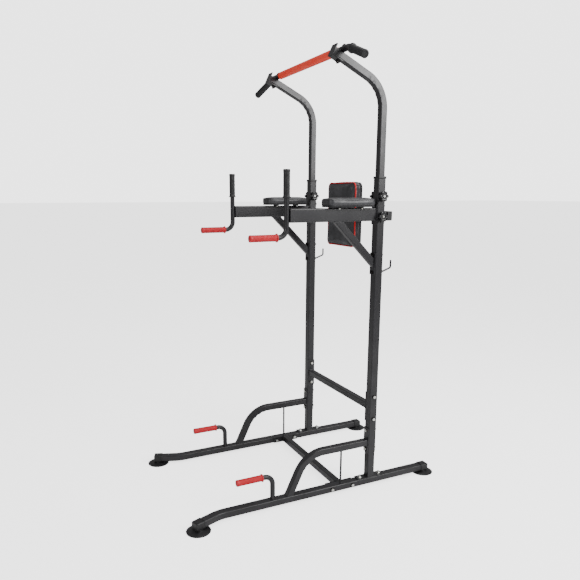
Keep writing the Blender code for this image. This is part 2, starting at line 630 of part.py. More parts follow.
# ---------------------------------------------------------------- arms and pads
def arm(name, side, parent):
    """Dip arm: a deep tube with a plate bolted to the front of the upright."""
    outer, inner = tube_sections(ARM_WIDTH, ARM_HEIGHT, BAR_WALL)
    plate_face = FRONT_FACE_Y - GAP
    tube = swept(name, ((HALF_SPACING, UPRIGHT_Y - ARM_FRONT, ARM_Z),
                        (HALF_SPACING, plate_face - PLATE / 2, ARM_Z)),
                 outer, inner, side)
    half = ARM_PLATE_HEIGHT / 2
    plate = block("plate", (HALF_SPACING - HALF_UPRIGHT, plate_face - PLATE, ARM_Z - half),
                  (HALF_SPACING + HALF_UPRIGHT, plate_face, ARM_Z + half), side)
    combine(tube, "UNION", [plate])
    drill(tube, [((HALF_SPACING, y, ARM_Z), (HALF_SPACING, y, ARM_Z + ARM_HEIGHT))
                 for y in pad_bolt_places()],
          BOLT_HOLE, side)
    return finish_piece(tube, BLACK_COAT, parent)


def pad_bolt_places():
    """Y of the two bolts under each arm pad."""
    middle = UPRIGHT_Y - ARM_PAD_BACK - ARM_PAD_LENGTH / 2 + PAD_BOLTS_BACK
    return middle - PAD_BOLTS / 2, middle + PAD_BOLTS / 2


def arm_brace(name, side, parent):
    """Diagonal brace from the arm's underside to the upright, with its bolting plate."""
    angle = math.radians(ARM_BRACE_ANGLE)
    plate_face = FRONT_FACE_Y - GAP
    foot = Vector((HALF_SPACING, UPRIGHT_Y, ARM_BRACE_Z - HALF_UPRIGHT * math.tan(angle)))
    rise = ARM_Z - foot.z
    top = foot + Vector((0, -rise / math.tan(angle), rise))
    outer, inner = tube_sections(ARM_BRACE_WIDTH, ARM_BRACE_DEPTH, BAR_WALL)
    brace = swept(name, (foot, top), outer, inner, side)
    underside = ARM_Z - ARM_HEIGHT / 2 - GAP
    above = block("above", (HALF_SPACING - CLEAR, UPRIGHT_Y - CLEAR, underside),
                  (HALF_SPACING + CLEAR, UPRIGHT_Y + CLEAR, underside + CLEAR), side)
    behind = block("behind", (HALF_SPACING - CLEAR, plate_face - PLATE / 2, ARM_BRACE_Z - CLEAR),
                   (HALF_SPACING + CLEAR, UPRIGHT_Y + CLEAR, ARM_BRACE_Z + CLEAR), side)
    combine(brace, "DIFFERENCE", [above, behind])
    half = ARM_BRACE_PLATE / 2
    plate = block("plate", (HALF_SPACING - HALF_UPRIGHT, plate_face - PLATE, ARM_BRACE_Z - half),
                  (HALF_SPACING + HALF_UPRIGHT, plate_face, ARM_BRACE_Z + half), side)
    combine(brace, "UNION", [plate])
    return finish_piece(brace, BLACK_COAT, parent)


def dip_handle(side_name, side, parent):
    """Round handle on the arm's end: an upright stem, bent forward at the bottom, with two grips."""
    y = UPRIGHT_Y - ARM_FRONT - GAP - HANDLE_TUBE / 2
    corner = (HALF_SPACING, y, DIP_FRONT_Z)
    grip_start = y - HANDLE_BEND - DIP_GRIP_SET
    tip = (HALF_SPACING, grip_start - GRIP_LENGTH + GRIP_END, DIP_FRONT_Z)
    handle = swept("dip_handle_" + side_name, ((HALF_SPACING, y, DIP_TOP - GRIP_END), corner, tip),
                   round_section(HANDLE_TUBE), round_section(HANDLE_TUBE - 2 * HANDLE_WALL), side,
                   radius=HANDLE_BEND, steps=6)
    finish_piece(handle, BLACK_COAT, parent)
    grip("dip_top_grip_" + side_name, (HALF_SPACING, y, DIP_TOP - DIP_TOP_GRIP), Z_AXIS, DIP_TOP_GRIP,
         GRIP_DIAMETER, HANDLE_TUBE, BLACK_RUBBER, side, parent)
    grip("dip_front_grip_" + side_name, (HALF_SPACING, grip_start, DIP_FRONT_Z), -Y_AXIS, GRIP_LENGTH,
         GRIP_DIAMETER, HANDLE_TUBE, RED_GRIP, side, parent)


def arm_pad(name, side, parent):
    """Upholstered forearm pad on two spacers."""
    bottom = ARM_Z + ARM_HEIGHT / 2 + ARM_PAD_LIFT
    back = UPRIGHT_Y - ARM_PAD_BACK
    pad = block(name, (HALF_SPACING - ARM_PAD_WIDTH / 2, back - ARM_PAD_LENGTH, bottom),
                (HALF_SPACING + ARM_PAD_WIDTH / 2, back, bottom + ARM_PAD_THICKNESS), side,
                bevel=ARM_PAD_ROUND)
    seat = ARM_Z + ARM_HEIGHT / 2 + GAP
    spacers = [rod("spacer", (HALF_SPACING, y, seat), (HALF_SPACING, y, bottom + SPACER_SINK), PAD_SPACER,
                   side)
               for y in pad_bolt_places()]
    combine(pad, "UNION", spacers)
    return finish_piece(pad, BLACK_VINYL, parent)


def backrest_pad(name, parent):
    """Upholstered backrest between the uprights."""
    front = UPRIGHT_Y - BACKREST_FRONT
    pad = block(name, (-BACKREST_WIDTH / 2, front, BACKREST_Z - BACKREST_HEIGHT / 2),
                (BACKREST_WIDTH / 2, front + BACKREST_THICKNESS, BACKREST_Z + BACKREST_HEIGHT / 2),
                bevel=BACKREST_ROUND)
    return finish_piece(pad, BLACK_VINYL, parent)


def backrest_tube_y():
    """Centre of the tube behind the backrest pad."""
    return UPRIGHT_Y - BACKREST_FRONT + BACKREST_THICKNESS + GAP + BACK_TUBE_DEPTH / 2


def backrest_tube(name, parent):
    """Tube across the back of both uprights, on two welded lugs."""
    outer, inner = tube_sections(BACK_TUBE_DEPTH, BACK_TUBE_HEIGHT, BAR_WALL)
    y = backrest_tube_y()
    end = HALF_SPACING + HALF_UPRIGHT - BACK_CAP
    tube = swept(name, ((-end, y, BACK_TUBE_Z), (end, y, BACK_TUBE_Z)), outer, inner, side_axis=Y_AXIS)
    face = REAR_FACE_Y + GAP
    lugs = []
    for side in (1, -1):
        lug = block("lug", (HALF_SPACING - HALF_UPRIGHT, face, BACK_TUBE_Z - BACK_TUBE_HEIGHT / 2 + CORNER),
                    (HALF_SPACING + HALF_UPRIGHT - BACK_CAP - LUG_SETBACK,
                     y - BACK_TUBE_DEPTH / 2 + BAR_WALL / 2,
                     BACK_TUBE_Z + BACK_TUBE_HEIGHT / 2 - CORNER), side)
        lugs.append(lug)
    combine(tube, "UNION", lugs)
    return finish_piece(tube, BLACK_COAT, parent)


def tube_cap(name, side, parent):
    """Plastic plug in the end of the backrest tube."""
    y = backrest_tube_y()
    end = HALF_SPACING + HALF_UPRIGHT - BACK_CAP
    head = swept(name, ((end + GAP, y, BACK_TUBE_Z), (end + BACK_CAP, y, BACK_TUBE_Z)),
                 rounded_section(BACK_TUBE_DEPTH, BACK_TUBE_HEIGHT, CORNER), side=side, side_axis=Y_AXIS)
    inside = 2 * (BAR_WALL + GAP)
    plug = swept("plug", ((end - BACK_PLUG, y, BACK_TUBE_Z), (end + BACK_CAP / 2, y, BACK_TUBE_Z)),
                 rounded_section(BACK_TUBE_DEPTH - inside, BACK_TUBE_HEIGHT - inside, INNER_CORNER),
                 side=side, side_axis=Y_AXIS)
    combine(head, "UNION", [plug])
    return finish_piece(head, BLACK_PLASTIC, parent)


# ---------------------------------------------------------------- telescoping pull-up frame
def post_directions():
    """Corner of the post's centre line, its sloping direction and the direction square to that."""
    slope = math.radians(90 - BEND_ANGLE)
    along = Vector((0, -math.cos(slope), math.sin(slope)))
    square = Vector((0, math.sin(slope), math.cos(slope)))
    corner = Vector((HALF_SPACING, UPRIGHT_Y, POST_CORNER_Z))
    return corner, along, square


def post_end():
    """Front end of the sloping part of the post."""
    corner, along, _ = post_directions()
    return corner + along * POST_REACH / abs(along.y)


def bar_centre():
    """Where the pull-up bar's axis crosses above a post."""
    _, along, square = post_directions()
    return post_end() - along * PULL_BACK + square * (POST_SIZE / 2 + GAP + PULL_TUBE / 2)


def bent_post(name, side, parent):
    """Telescoping post: straight below with a row of pin holes, bent forwards above."""
    corner, _, _ = post_directions()
    bottom = Vector((HALF_SPACING, UPRIGHT_Y, POST_BOTTOM))
    outer, inner = tube_sections(POST_SIZE, POST_SIZE, POST_WALL)
    post = swept(name, (bottom, corner, post_end()), outer, inner, side, origin=bottom,
                 radius=BEND_RADIUS, steps=10)
    inner_face = HALF_SPACING - POST_SIZE / 2
    paths = []
    for step in range(HOLE_STEPS + 1):
        z = PIN_Z - step * HOLE_PITCH
        paths.append(((inner_face - CUT_RUN, UPRIGHT_Y, z), (inner_face + PIN_HOLE_DEPTH, UPRIGHT_Y, z)))
    drill(post, paths, PIN_BORE, side)
    return finish_piece(post, BLACK_COAT, parent)


def post_glide(name, side, parent):
    """Plastic foot in the bottom of the post that runs in the upright's bore."""
    size = UPRIGHT_BORE - 2 * GAP
    top = POST_BOTTOM - GAP
    foot = swept(name, ((HALF_SPACING, UPRIGHT_Y, top - GLIDE_HEIGHT / 2), (HALF_SPACING, UPRIGHT_Y, top)),
                 rounded_section(size, size, CORNER - UPRIGHT_WALL), side=side)
    plug_size = POST_SIZE - 2 * (POST_WALL + GAP)
    plug = swept("plug", ((HALF_SPACING, UPRIGHT_Y, top - GLIDE_HEIGHT / 4),
                          (HALF_SPACING, UPRIGHT_Y, top + GLIDE_HEIGHT)),
                 rounded_section(plug_size, plug_size, INNER_CORNER), side=side)
    combine(foot, "UNION", [plug])
    return finish_piece(foot, BLACK_PLASTIC, parent)


def saddle(name, side, parent):
    """Angle bracket on the post's end: a plate in front and a leg under the post."""
    _, along, square = post_directions()
    end = post_end() + along * GAP
    half_post = POST_SIZE / 2 + GAP
    low = end - square * (half_post + SADDLE_PLATE)
    high = end + square * (POST_SIZE / 2 + PULL_TUBE * 0.45)
    front = swept(name, (low + along * SADDLE_PLATE / 2, high + along * SADDLE_PLATE / 2),
                  rounded_section(SADDLE_WIDTH, SADDLE_PLATE, STRAP_CORNER), side=side)
    middle = end - square * (half_post + SADDLE_PLATE / 2)
    leg = swept("leg", (middle - along * SADDLE_LEG, middle + along * SADDLE_PLATE * 0.7),
                rounded_section(SADDLE_WIDTH - LEG_STEP, SADDLE_PLATE, STRAP_CORNER), side=side)
    combine(front, "UNION", [leg])
    return finish_piece(front, BLACK_COAT, parent)


def outer_handle_direction():
    """Direction of the bar's outer ends on the right-hand side: outwards, down and a little forward."""
    drop = math.radians(OUTER_DROP)
    forward = math.radians(OUTER_FORWARD)
    return Vector((math.cos(drop) * math.cos(forward), -math.cos(drop) * math.sin(forward), -math.sin(drop)))


def pull_up_bar(name, parent):
    """One round bar over both posts, turned down at each end."""
    centre = bar_centre()
    right_turn = Vector((HALF_SPACING + OUTER_TURN, centre.y, centre.z))
    left_turn = Vector((-right_turn.x, centre.y, centre.z))
    way = outer_handle_direction()
    right_end = right_turn + way * (OUTER_LENGTH - GRIP_END)
    left_end = left_turn + Vector((-way.x, way.y, way.z)) * (OUTER_LENGTH - GRIP_END)
    bar = swept(name, (left_end, left_turn, right_turn, right_end), round_section(PULL_TUBE),
                round_section(PULL_TUBE - 2 * PULL_WALL), radius=PULL_BEND, steps=3, side_axis=Y_AXIS)
    return finish_piece(bar, BLACK_COAT, parent)


def centre_grip(name, parent):
    """Foam sleeve on the middle of the pull-up bar."""
    centre = bar_centre()
    half = CENTRE_GRIP_LENGTH / 2
    outer = round_section(CENTRE_GRIP, 20)
    inner = round_section(PULL_TUBE + 2 * GAP, 20)
    sleeve = swept(name, ((-half, centre.y, centre.z), (half, centre.y, centre.z)), outer, inner,
                   side_axis=Y_AXIS)
    return finish_piece(sleeve, RED_FOAM, parent)


def end_grip(name, side, parent):
    """Grip on the bar's outer end."""
    centre = bar_centre()
    way = outer_handle_direction()
    turn = Vector((HALF_SPACING + OUTER_TURN, centre.y, centre.z))
    start = turn + way * (OUTER_LENGTH - OUTER_GRIP_LENGTH)
    return grip(name, start, way, OUTER_GRIP_LENGTH, OUTER_GRIP, PULL_TUBE, BLACK_RUBBER, side, parent)


# ---------------------------------------------------------------- knobs
def star_outline(diameter, lobes, depth, points_per_lobe=5):
    """Points of a lobed knob's outline."""
    count = lobes * points_per_lobe
    points = []
    for i in range(count):
        angle = math.tau * i / count
        radius = diameter / 2 - depth * (0.5 - 0.5 * math.cos(lobes * angle))
        points.append((radius * math.cos(angle), radius * math.sin(angle)))
    return points


def star_knob(name, z, face, tip, side, outward, parent):
    """Star knob on a screw: head, neck and stud in one piece, its axis along X."""
    way = X_AXIS * outward
    seat = Vector((face, UPRIGHT_Y, z)) + way * (BOSS_LENGTH + GAP)
    head_start = seat + way * KNOB_NECK_LENGTH
    head = swept(name, (head_start, head_start + way * KNOB_THICKNESS),
                 star_outline(KNOB_DIAMETER, KNOB_LOBES, KNOB_LOBE_DEPTH), side=side, side_axis=Y_AXIS)
    neck = rod("neck", seat, head_start + way * KNOB_THICKNESS / 2, KNOB_NECK, side, 16)
    stud = rod("stud", Vector((tip, UPRIGHT_Y, z)), head_start + way * KNOB_THICKNESS / 2, PIN_DIAMETER, side)
    combine(head, "UNION", [neck, stud])
    pocket = rod("pocket", head_start + way * KNOB_THICKNESS * 0.6, head_start + way * KNOB_THICKNESS * 1.5,
                 KNOB_POCKET, side, 16)
    combine(head, "DIFFERENCE", [pocket])
    return finish_piece(head, BLACK_PLASTIC, parent)


def knobs(side_name, side, parent):
    """Two clamp knobs outside the upright and the height pin inside it."""
    outer_face = HALF_SPACING + HALF_UPRIGHT
    inner_face = HALF_SPACING - HALF_UPRIGHT
    post_outer = HALF_SPACING + POST_SIZE / 2
    post_inner = HALF_SPACING - POST_SIZE / 2
    star_knob("upper_clamp_knob_" + side_name, PIN_Z, outer_face, post_outer + GAP, side, 1, parent)
    star_knob("lower_clamp_knob_" + side_name, LOWER_KNOB_Z, outer_face, post_outer + GAP, side, 1, parent)
    star_knob("height_pin_" + side_name, PIN_Z, inner_face, post_inner + PIN_ENGAGEMENT, side, -1, parent)


# ---------------------------------------------------------------- assembly
def empty(name, location, parent=None):
    """An empty that groups the pieces of one moving body."""
    obj = bpy.data.objects.new(name, None)
    obj.location = location
    bpy.context.scene.collection.objects.link(obj)
    if parent:
        obj.parent = parent
        bpy.context.view_layer.update()
        obj.matrix_parent_inverse = parent.matrix_world.inverted()
    bpy.context.view_layer.update()
    return obj


def build_base(parent):
    """Rails, shoes, cups, braces, push-up handles and the base cross tube."""
    for side_name, side in (("right", 1), ("left", -1)):
        front_rail("front_rail_" + side_name, side, parent)
        rear_rail("rear_rail_" + side_name, side, parent)
        for end_name, joint, outward, cup in rail_caps(side):
            rail_shoe(f"{end_name}_shoe_{side_name}", joint, outward, side, parent)
            suction_cup(f"{end_name}_cup_{side_name}", cup, side, parent)
        floor_brace("floor_brace_" + side_name, side, parent)
        push_up_handle(side_name, side, parent)
    crossbar("base_cross_tube", UPRIGHT_Y - BASE_CROSS_Y, RAIL_CENTRE_Z, False,
             HALF_SPACING - RAIL_WIDTH / 2, parent)


def build_uprights(parent):
    """Foot tubes, uprights, collars, hooks and the lower crossbar."""
    for side_name, side in (("right", 1), ("left", -1)):
        foot_tube("foot_tube_" + side_name, side, parent)
        upright("upright_" + side_name, side, parent)
        collar("post_collar_" + side_name, side, parent)
        band_hook("band_hook_" + side_name, side, parent)
    crossbar("lower_crossbar", UPRIGHT_Y, LOWER_BAR_Z, True, HALF_SPACING - HALF_UPRIGHT, parent)


def build_arms(parent):
    """Dip arms with their braces, handles and pads, and the backrest."""
    for side_name, side in (("right", 1), ("left", -1)):
        arm("dip_arm_" + side_name, side, parent)
        arm_brace("arm_brace_" + side_name, side, parent)
        dip_handle(side_name, side, parent)
        arm_pad("arm_pad_" + side_name, side, parent)
        tube_cap("backrest_tube_cap_" + side_name, side, parent)
    backrest_pad("backrest_pad", parent)
    backrest_tube("backrest_tube", parent)


def build_pull_up_frame(parent):
    """Posts, glides, saddles, bar and grips: everything that slides up and down."""
    for side_name, side in (("right", 1), ("left", -1)):
        bent_post("bent_post_" + side_name, side, parent)
        post_glide("post_glide_" + side_name, side, parent)
        saddle("bar_saddle_" + side_name, side, parent)
        end_grip("end_grip_" + side_name, side, parent)
    pull_up_bar("pull_up_bar", parent)
    centre_grip("centre_grip", parent)


def main():
    """Build the whole tower."""
    clear_scene()
    tower = empty("power_tower", (0, 0, 0))
    slider = empty("pull_up_frame", (0, UPRIGHT_Y, UPRIGHT_TOP), tower)
    build_base(tower)
    build_uprights(tower)
    build_arms(tower)
    build_pull_up_frame(slider)
    for side_name, side in (("right", 1), ("left", -1)):
        knobs(side_name, side, tower)


main()
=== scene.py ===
"""Looks of an adjustable power tower, built piece by piece around its fixed CAD frame.

Units are metres and +Z is up.  The uprights stand at X = +-half the spacing, -Y is the front.
Every visible piece is modelled here in the place its CAD node holds, dressed in its real finish
and tied to the body it moves with.
"""
from __future__ import annotations

import logging
import math
import sys
from dataclasses import dataclass, field
from enum import Enum
from typing import Callable, Iterable, Sequence

import bmesh
import bpy
from mathutils import Matrix, Vector, noise

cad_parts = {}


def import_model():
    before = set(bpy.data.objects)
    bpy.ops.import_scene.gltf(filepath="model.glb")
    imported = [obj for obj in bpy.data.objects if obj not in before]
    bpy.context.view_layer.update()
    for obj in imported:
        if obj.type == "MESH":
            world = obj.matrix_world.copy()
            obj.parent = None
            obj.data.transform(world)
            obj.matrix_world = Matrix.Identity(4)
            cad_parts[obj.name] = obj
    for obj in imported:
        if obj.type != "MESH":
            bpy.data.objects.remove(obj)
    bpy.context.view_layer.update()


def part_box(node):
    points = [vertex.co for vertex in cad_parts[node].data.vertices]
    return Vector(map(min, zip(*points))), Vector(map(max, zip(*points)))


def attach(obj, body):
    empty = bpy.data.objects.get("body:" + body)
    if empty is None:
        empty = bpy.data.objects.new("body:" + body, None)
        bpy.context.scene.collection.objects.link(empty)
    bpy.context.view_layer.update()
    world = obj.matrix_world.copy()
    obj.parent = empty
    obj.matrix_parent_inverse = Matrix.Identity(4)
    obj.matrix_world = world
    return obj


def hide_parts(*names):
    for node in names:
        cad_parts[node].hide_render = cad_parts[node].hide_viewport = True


LOG = logging.getLogger("power_tower")

X_AXIS = Vector((1.0, 0.0, 0.0))
Y_AXIS = Vector((0.0, 1.0, 0.0))
Z_AXIS = Vector((0.0, 0.0, 1.0))
MM = 0.001
WELD_LIFT = 0.0006  # how far a weld stands off the face it is laid on


class Side(Enum):
    """Which half of the machine a piece belongs to, seen by a user who faces -Y."""

    RIGHT = 1
    LEFT = -1

    @property
    def label(self) -> str:
        """The side's name in lower case, as the CAD nodes end."""
        return self.name.lower()


class Body(Enum):
    """The two large rigid bodies; each knob is a body of its own."""

    BASE = "base_frame"
    UPPER = "pull_up_frame"


# ---------------------------------------------------------------- shader tools
def linear(hex_colour: str) -> tuple[float, float, float, float]:
    """Turn an sRGB hex colour into linear RGBA.

    Args:
        hex_colour: Six hex digits after a hash sign.

    Returns:
        Linear red, green, blue and an alpha of 1.
    """
    channels = [int(hex_colour[i:i + 2], 16) / 255 for i in (1, 3, 5)]
    bent = [c / 12.92 if c <= 0.04045 else ((c + 0.055) / 1.055) ** 2.4 for c in channels]
    return bent[0], bent[1], bent[2], 1.0


def add_node(tree: bpy.types.NodeTree, kind: str, settings: dict | None = None,
             inputs: dict | None = None, feeds: dict | None = None) -> bpy.types.Node:
    """Add a shader node, set its properties, fill or link its inputs, and link its outputs.

    Args:
        tree: The material's node tree.
        kind: Blender's type name of the node.
        settings: Property names and values.
        inputs: Socket names or identifiers, each with a value or another node's output.
        feeds: Output names or identifiers, each with the input that it feeds.

    Returns:
        The new node.
    """
    node = tree.nodes.new(kind)
    for name, value in (settings or {}).items():
        setattr(node, name, value)
    for name, value in (inputs or {}).items():
        socket = next(s for s in node.inputs if name in (s.identifier, s.name))
        if isinstance(value, bpy.types.NodeSocket):
            tree.links.new(value, socket)
        else:
            socket.default_value = value
    for name, target in (feeds or {}).items():
        tree.links.new(next(s for s in node.outputs if name in (s.identifier, s.name)), target)
    return node


def per_metre(size_mm: float) -> float:
    """Texture scale, in features per metre, for a feature of this many millimetres."""
    return 1.0 / (size_mm * MM)


@dataclass(frozen=True)
class Finish:
    """A surface: the values that are the same all over it, and a method that adds its detail."""

    name: str
    slot: str
    colour: str
    roughness: float
    metallic: float = 0.0
    ior: float = 1.5
    specular: float = 0.5

    def material(self) -> bpy.types.Material:
        """Make the material.

        Returns:
            The new material, dressed.
        """
        made = bpy.data.materials.new(self.name)
        made.use_nodes = True
        tree = made.node_tree
        shader = tree.nodes["Principled BSDF"]
        shader.inputs["Base Color"].default_value = linear(self.colour)
        shader.inputs["Roughness"].default_value = self.roughness
        shader.inputs["Metallic"].default_value = self.metallic
        shader.inputs["IOR"].default_value = self.ior
        shader.inputs["Specular IOR Level"].default_value = self.specular
        made.diffuse_color = linear(self.colour)
        self.dress(tree, shader)
        return made

    def dress(self, tree: bpy.types.NodeTree, shader: bpy.types.Node) -> None:
        """Add the finish's own pattern; the plain finish has none."""

    def drift(self, tree: bpy.types.NodeTree, shader: bpy.types.Node, size_mm: float, other: str,
              swing: float, detail: float = 2.0) -> None:
        """Let colour and gloss change together over patches of a real size.

        Args:
            tree: The material's node tree.
            shader: Its Principled shader.
            size_mm: Size of one patch.
            other: Colour the patches drift to.
            swing: How much rougher and smoother they get.
            detail: Octaves of finer patches.
        """
        place = add_node(tree, "ShaderNodeTexCoord").outputs["Object"]
        patch = add_node(tree, "ShaderNodeTexNoise", {}, {
            "Vector": place, "Scale": per_metre(size_mm), "Detail": detail}).outputs["Fac"]
        share = add_node(tree, "ShaderNodeMapRange", {}, {
            "Value": patch, "From Min": 0.35, "From Max": 0.65}).outputs["Result"]
        add_node(tree, "ShaderNodeMix", {"data_type": "RGBA"}, {
            "Factor_Float": share, "A_Color": linear(self.colour), "B_Color": linear(other)},
            {"Result_Color": shader.inputs["Base Color"]})
        add_node(tree, "ShaderNodeMapRange", {}, {
            "Value": share, "To Min": self.roughness + swing, "To Max": self.roughness - swing},
            {"Result": shader.inputs["Roughness"]})

    def grain(self, tree: bpy.types.NodeTree, shader: bpy.types.Node, size_mm: float, depth_mm: float,
              strength: float, detail: float = 2.0) -> None:
        """Give the surface an even relief.

        Args:
            tree: The material's node tree.
            shader: Its Principled shader.
            size_mm: Size of one bump.
            depth_mm: Its depth.
            strength: Share of the depth that shows.
            detail: Octaves of finer bumps.
        """
        place = add_node(tree, "ShaderNodeTexCoord").outputs["Object"]
        height = add_node(tree, "ShaderNodeTexNoise", {}, {
            "Vector": place, "Scale": per_metre(size_mm), "Detail": detail}).outputs["Fac"]
        add_node(tree, "ShaderNodeBump", {}, {
            "Height": height, "Distance": depth_mm * MM, "Strength": strength},
            {"Normal": shader.inputs["Normal"]})


@dataclass(frozen=True)
class PowderCoat(Finish):
    """Polyester powder coat on steel: satin near-black with fine orange peel and faint clouds of gloss."""

    light: str = "#242326"
    peel_mm: float = 2.2
    cloud_mm: float = 90.0

    def dress(self, tree: bpy.types.NodeTree, shader: bpy.types.Node) -> None:
        """Orange peel in the relief, clouds in the colour and the gloss."""
        self.drift(tree, shader, self.cloud_mm, self.light, 0.04, 3.0)
        self.grain(tree, shader, self.peel_mm, 0.05, 0.6)


@dataclass(frozen=True)
class BlackOxide(Finish):
    """Black-oxide steel of the bolts and nuts: dark metal with a brownish, oily sheen."""

    brown: str = "#2B2622"

    def dress(self, tree: bpy.types.NodeTree, shader: bpy.types.Node) -> None:
        """Oil film in colour and gloss over forging marks."""
        self.drift(tree, shader, 4.0, self.brown, 0.08)
        self.grain(tree, shader, 0.7, 0.03, 0.5)


@dataclass(frozen=True)
class MouldedPlastic(Finish):
    """Injection-moulded polypropylene or nylon: near black, with a spark-eroded grain."""

    light: str = "#1B1B1D"
    grain_mm: float = 0.9

    def dress(self, tree: bpy.types.NodeTree, shader: bpy.types.Node) -> None:
        """Even fine grain in the relief, slow tone change from the mould's flow in the colour."""
        self.drift(tree, shader, 20.0, self.light, 0.06)
        self.grain(tree, shader, self.grain_mm, 0.03, 0.7, 1.0)


@dataclass(frozen=True)
class GripRubber(Finish):
    """Moulded thermoplastic rubber of grips and cups, a little paler where it is rubbed."""

    rubbed: str = "#CC1424"
    grain_mm: float = 1.1

    def dress(self, tree: bpy.types.NodeTree, shader: bpy.types.Node) -> None:
        """Rubbed patches in colour and gloss over a pebbled relief."""
        self.drift(tree, shader, 16.0, self.rubbed, 0.06, 3.0)
        self.grain(tree, shader, self.grain_mm, 0.10, 0.7)


@dataclass(frozen=True)
class FoamSleeve(Finish):
    """Skinned foam of the centre sleeve: orange-red, smooth and soft, with barely visible closed cells."""

    light: str = "#FF4A30"
    cell_mm: float = 1.8

    def dress(self, tree: bpy.types.NodeTree, shader: bpy.types.Node) -> None:
        """Cells in the relief, faint mottling in the colour.

        Args:
            tree: The material's node tree.
            shader: Its Principled shader.
        """
        self.drift(tree, shader, 30.0, self.light, 0.03)
        place = add_node(tree, "ShaderNodeTexCoord").outputs["Object"]
        cells = add_node(tree, "ShaderNodeTexVoronoi", {"feature": "SMOOTH_F1"}, {
            "Vector": place, "Scale": per_metre(self.cell_mm), "Smoothness": 0.8}).outputs["Distance"]
        add_node(tree, "ShaderNodeBump", {}, {"Height": cells, "Distance": 0.03 * MM, "Strength": 0.4},
                 {"Normal": shader.inputs["Normal"]})


@dataclass(frozen=True)
class ZincPlate(Finish):
    """Bright zinc on bolt heads, nuts and screws, with a faint blue and straw passivation."""

    straw: str = "#D9D6C8"

    def dress(self, tree: bpy.types.NodeTree, shader: bpy.types.Node) -> None:
        """Passivation tints and slight tumbling marks."""
        self.drift(tree, shader, 5.0, self.straw, 0.09)
        self.grain(tree, shader, 0.8, 0.02, 0.5)


@dataclass(frozen=True)
class Vinyl(Finish):
    """Charcoal PVC upholstery cloth with an embossed leather grain."""

    light: str = "#3C3C3F"
    pebble_mm: float = 2.0
    pore_mm: float = 0.7

    def dress(self, tree: bpy.types.NodeTree, shader: bpy.types.Node) -> None:
        """Pebbles with creases between them, finer pores, and a slow change of tone.

        Args:
            tree: The material's node tree.
            shader: Its Principled shader.
        """
        self.drift(tree, shader, 45.0, self.light, 0.06, 3.0)
        place = add_node(tree, "ShaderNodeTexCoord").outputs["Object"]
        pebbles = add_node(tree, "ShaderNodeTexVoronoi", {"feature": "SMOOTH_F1"}, {
            "Vector": place, "Scale": per_metre(self.pebble_mm), "Smoothness": 0.45}).outputs["Distance"]
        pores = add_node(tree, "ShaderNodeTexNoise", {}, {
            "Vector": place, "Scale": per_metre(self.pore_mm)}).outputs["Fac"]
        height = add_node(tree, "ShaderNodeMath", {"operation": "MULTIPLY_ADD"}, {
            "Value": pores, "Value_001": 0.35, "Value_002": pebbles}).outputs["Value"]
        add_node(tree, "ShaderNodeBump", {}, {"Height": height, "Distance": 0.10 * MM, "Strength": 0.55},
                 {"Normal": shader.inputs["Normal"]})


@dataclass(frozen=True)
class Thread(Finish):
    """Bonded polyester sewing thread: its two plies show as slanted stripes."""

    light: str = "#3A3A3C"
    ply_mm: float = 0.9

    def dress(self, tree: bpy.types.NodeTree, shader: bpy.types.Node) -> None:
        """Plies in the relief, lint in the colour.

        Args:
            tree: The material's node tree.
            shader: Its Principled shader.
        """
        self.drift(tree, shader, 3.0, self.light, 0.05)
        place = add_node(tree, "ShaderNodeTexCoord").outputs["Object"]
        plies = add_node(tree, "ShaderNodeTexWave", {"bands_direction": "DIAGONAL"}, {
            "Vector": place, "Scale": per_metre(self.ply_mm) / 20, "Distortion": 1.0}).outputs["Fac"]
        add_node(tree, "ShaderNodeBump", {}, {"Height": plies, "Distance": 0.15 * MM, "Strength": 0.8},
                 {"Normal": shader.inputs["Normal"]})


@dataclass(frozen=True)
class Piping(Finish):
    """Glossy red PVC piping, slightly darker in its puckers."""

    dark: str = "#A50409"

    def dress(self, tree: bpy.types.NodeTree, shader: bpy.types.Node) -> None:
        """Pucker shade every few millimetres and a smooth extruded skin."""
        self.drift(tree, shader, 7.0, self.dark, 0.04)
        self.grain(tree, shader, 2.5, 0.08, 0.6)


@dataclass(frozen=True)
class DustCover(Finish):
    """Plywood backing board under black non-woven dust cover."""

    light: str = "#2A2A2C"
    fibre_mm: float = 1.4

    def dress(self, tree: bpy.types.NodeTree, shader: bpy.types.Node) -> None:
        """Felted fibres in the relief and in the tone."""
        self.drift(tree, shader, self.fibre_mm * 2, self.light, 0.02, 4.0)
        self.grain(tree, shader, self.fibre_mm, 0.15, 0.8, 4.0)


@dataclass(frozen=True)
class LightTable(Finish):
    """Pale translucent table top, faintly lit from below; the glow is for the eye only."""

    glow: float = 2.2

    def dress(self, tree: bpy.types.NodeTree, shader: bpy.types.Node) -> None:
        """Glow towards the camera.

        Args:
            tree: The material's node tree.
            shader: Its Principled shader.
        """
        seen = add_node(tree, "ShaderNodeLightPath").outputs["Is Camera Ray"]
        shader.inputs["Emission Color"].default_value = linear("#FFFFFF")
        add_node(tree, "ShaderNodeMapRange", {}, {"Value": seen, "To Max": self.glow},
                 {"Result": shader.inputs["Emission Strength"]})


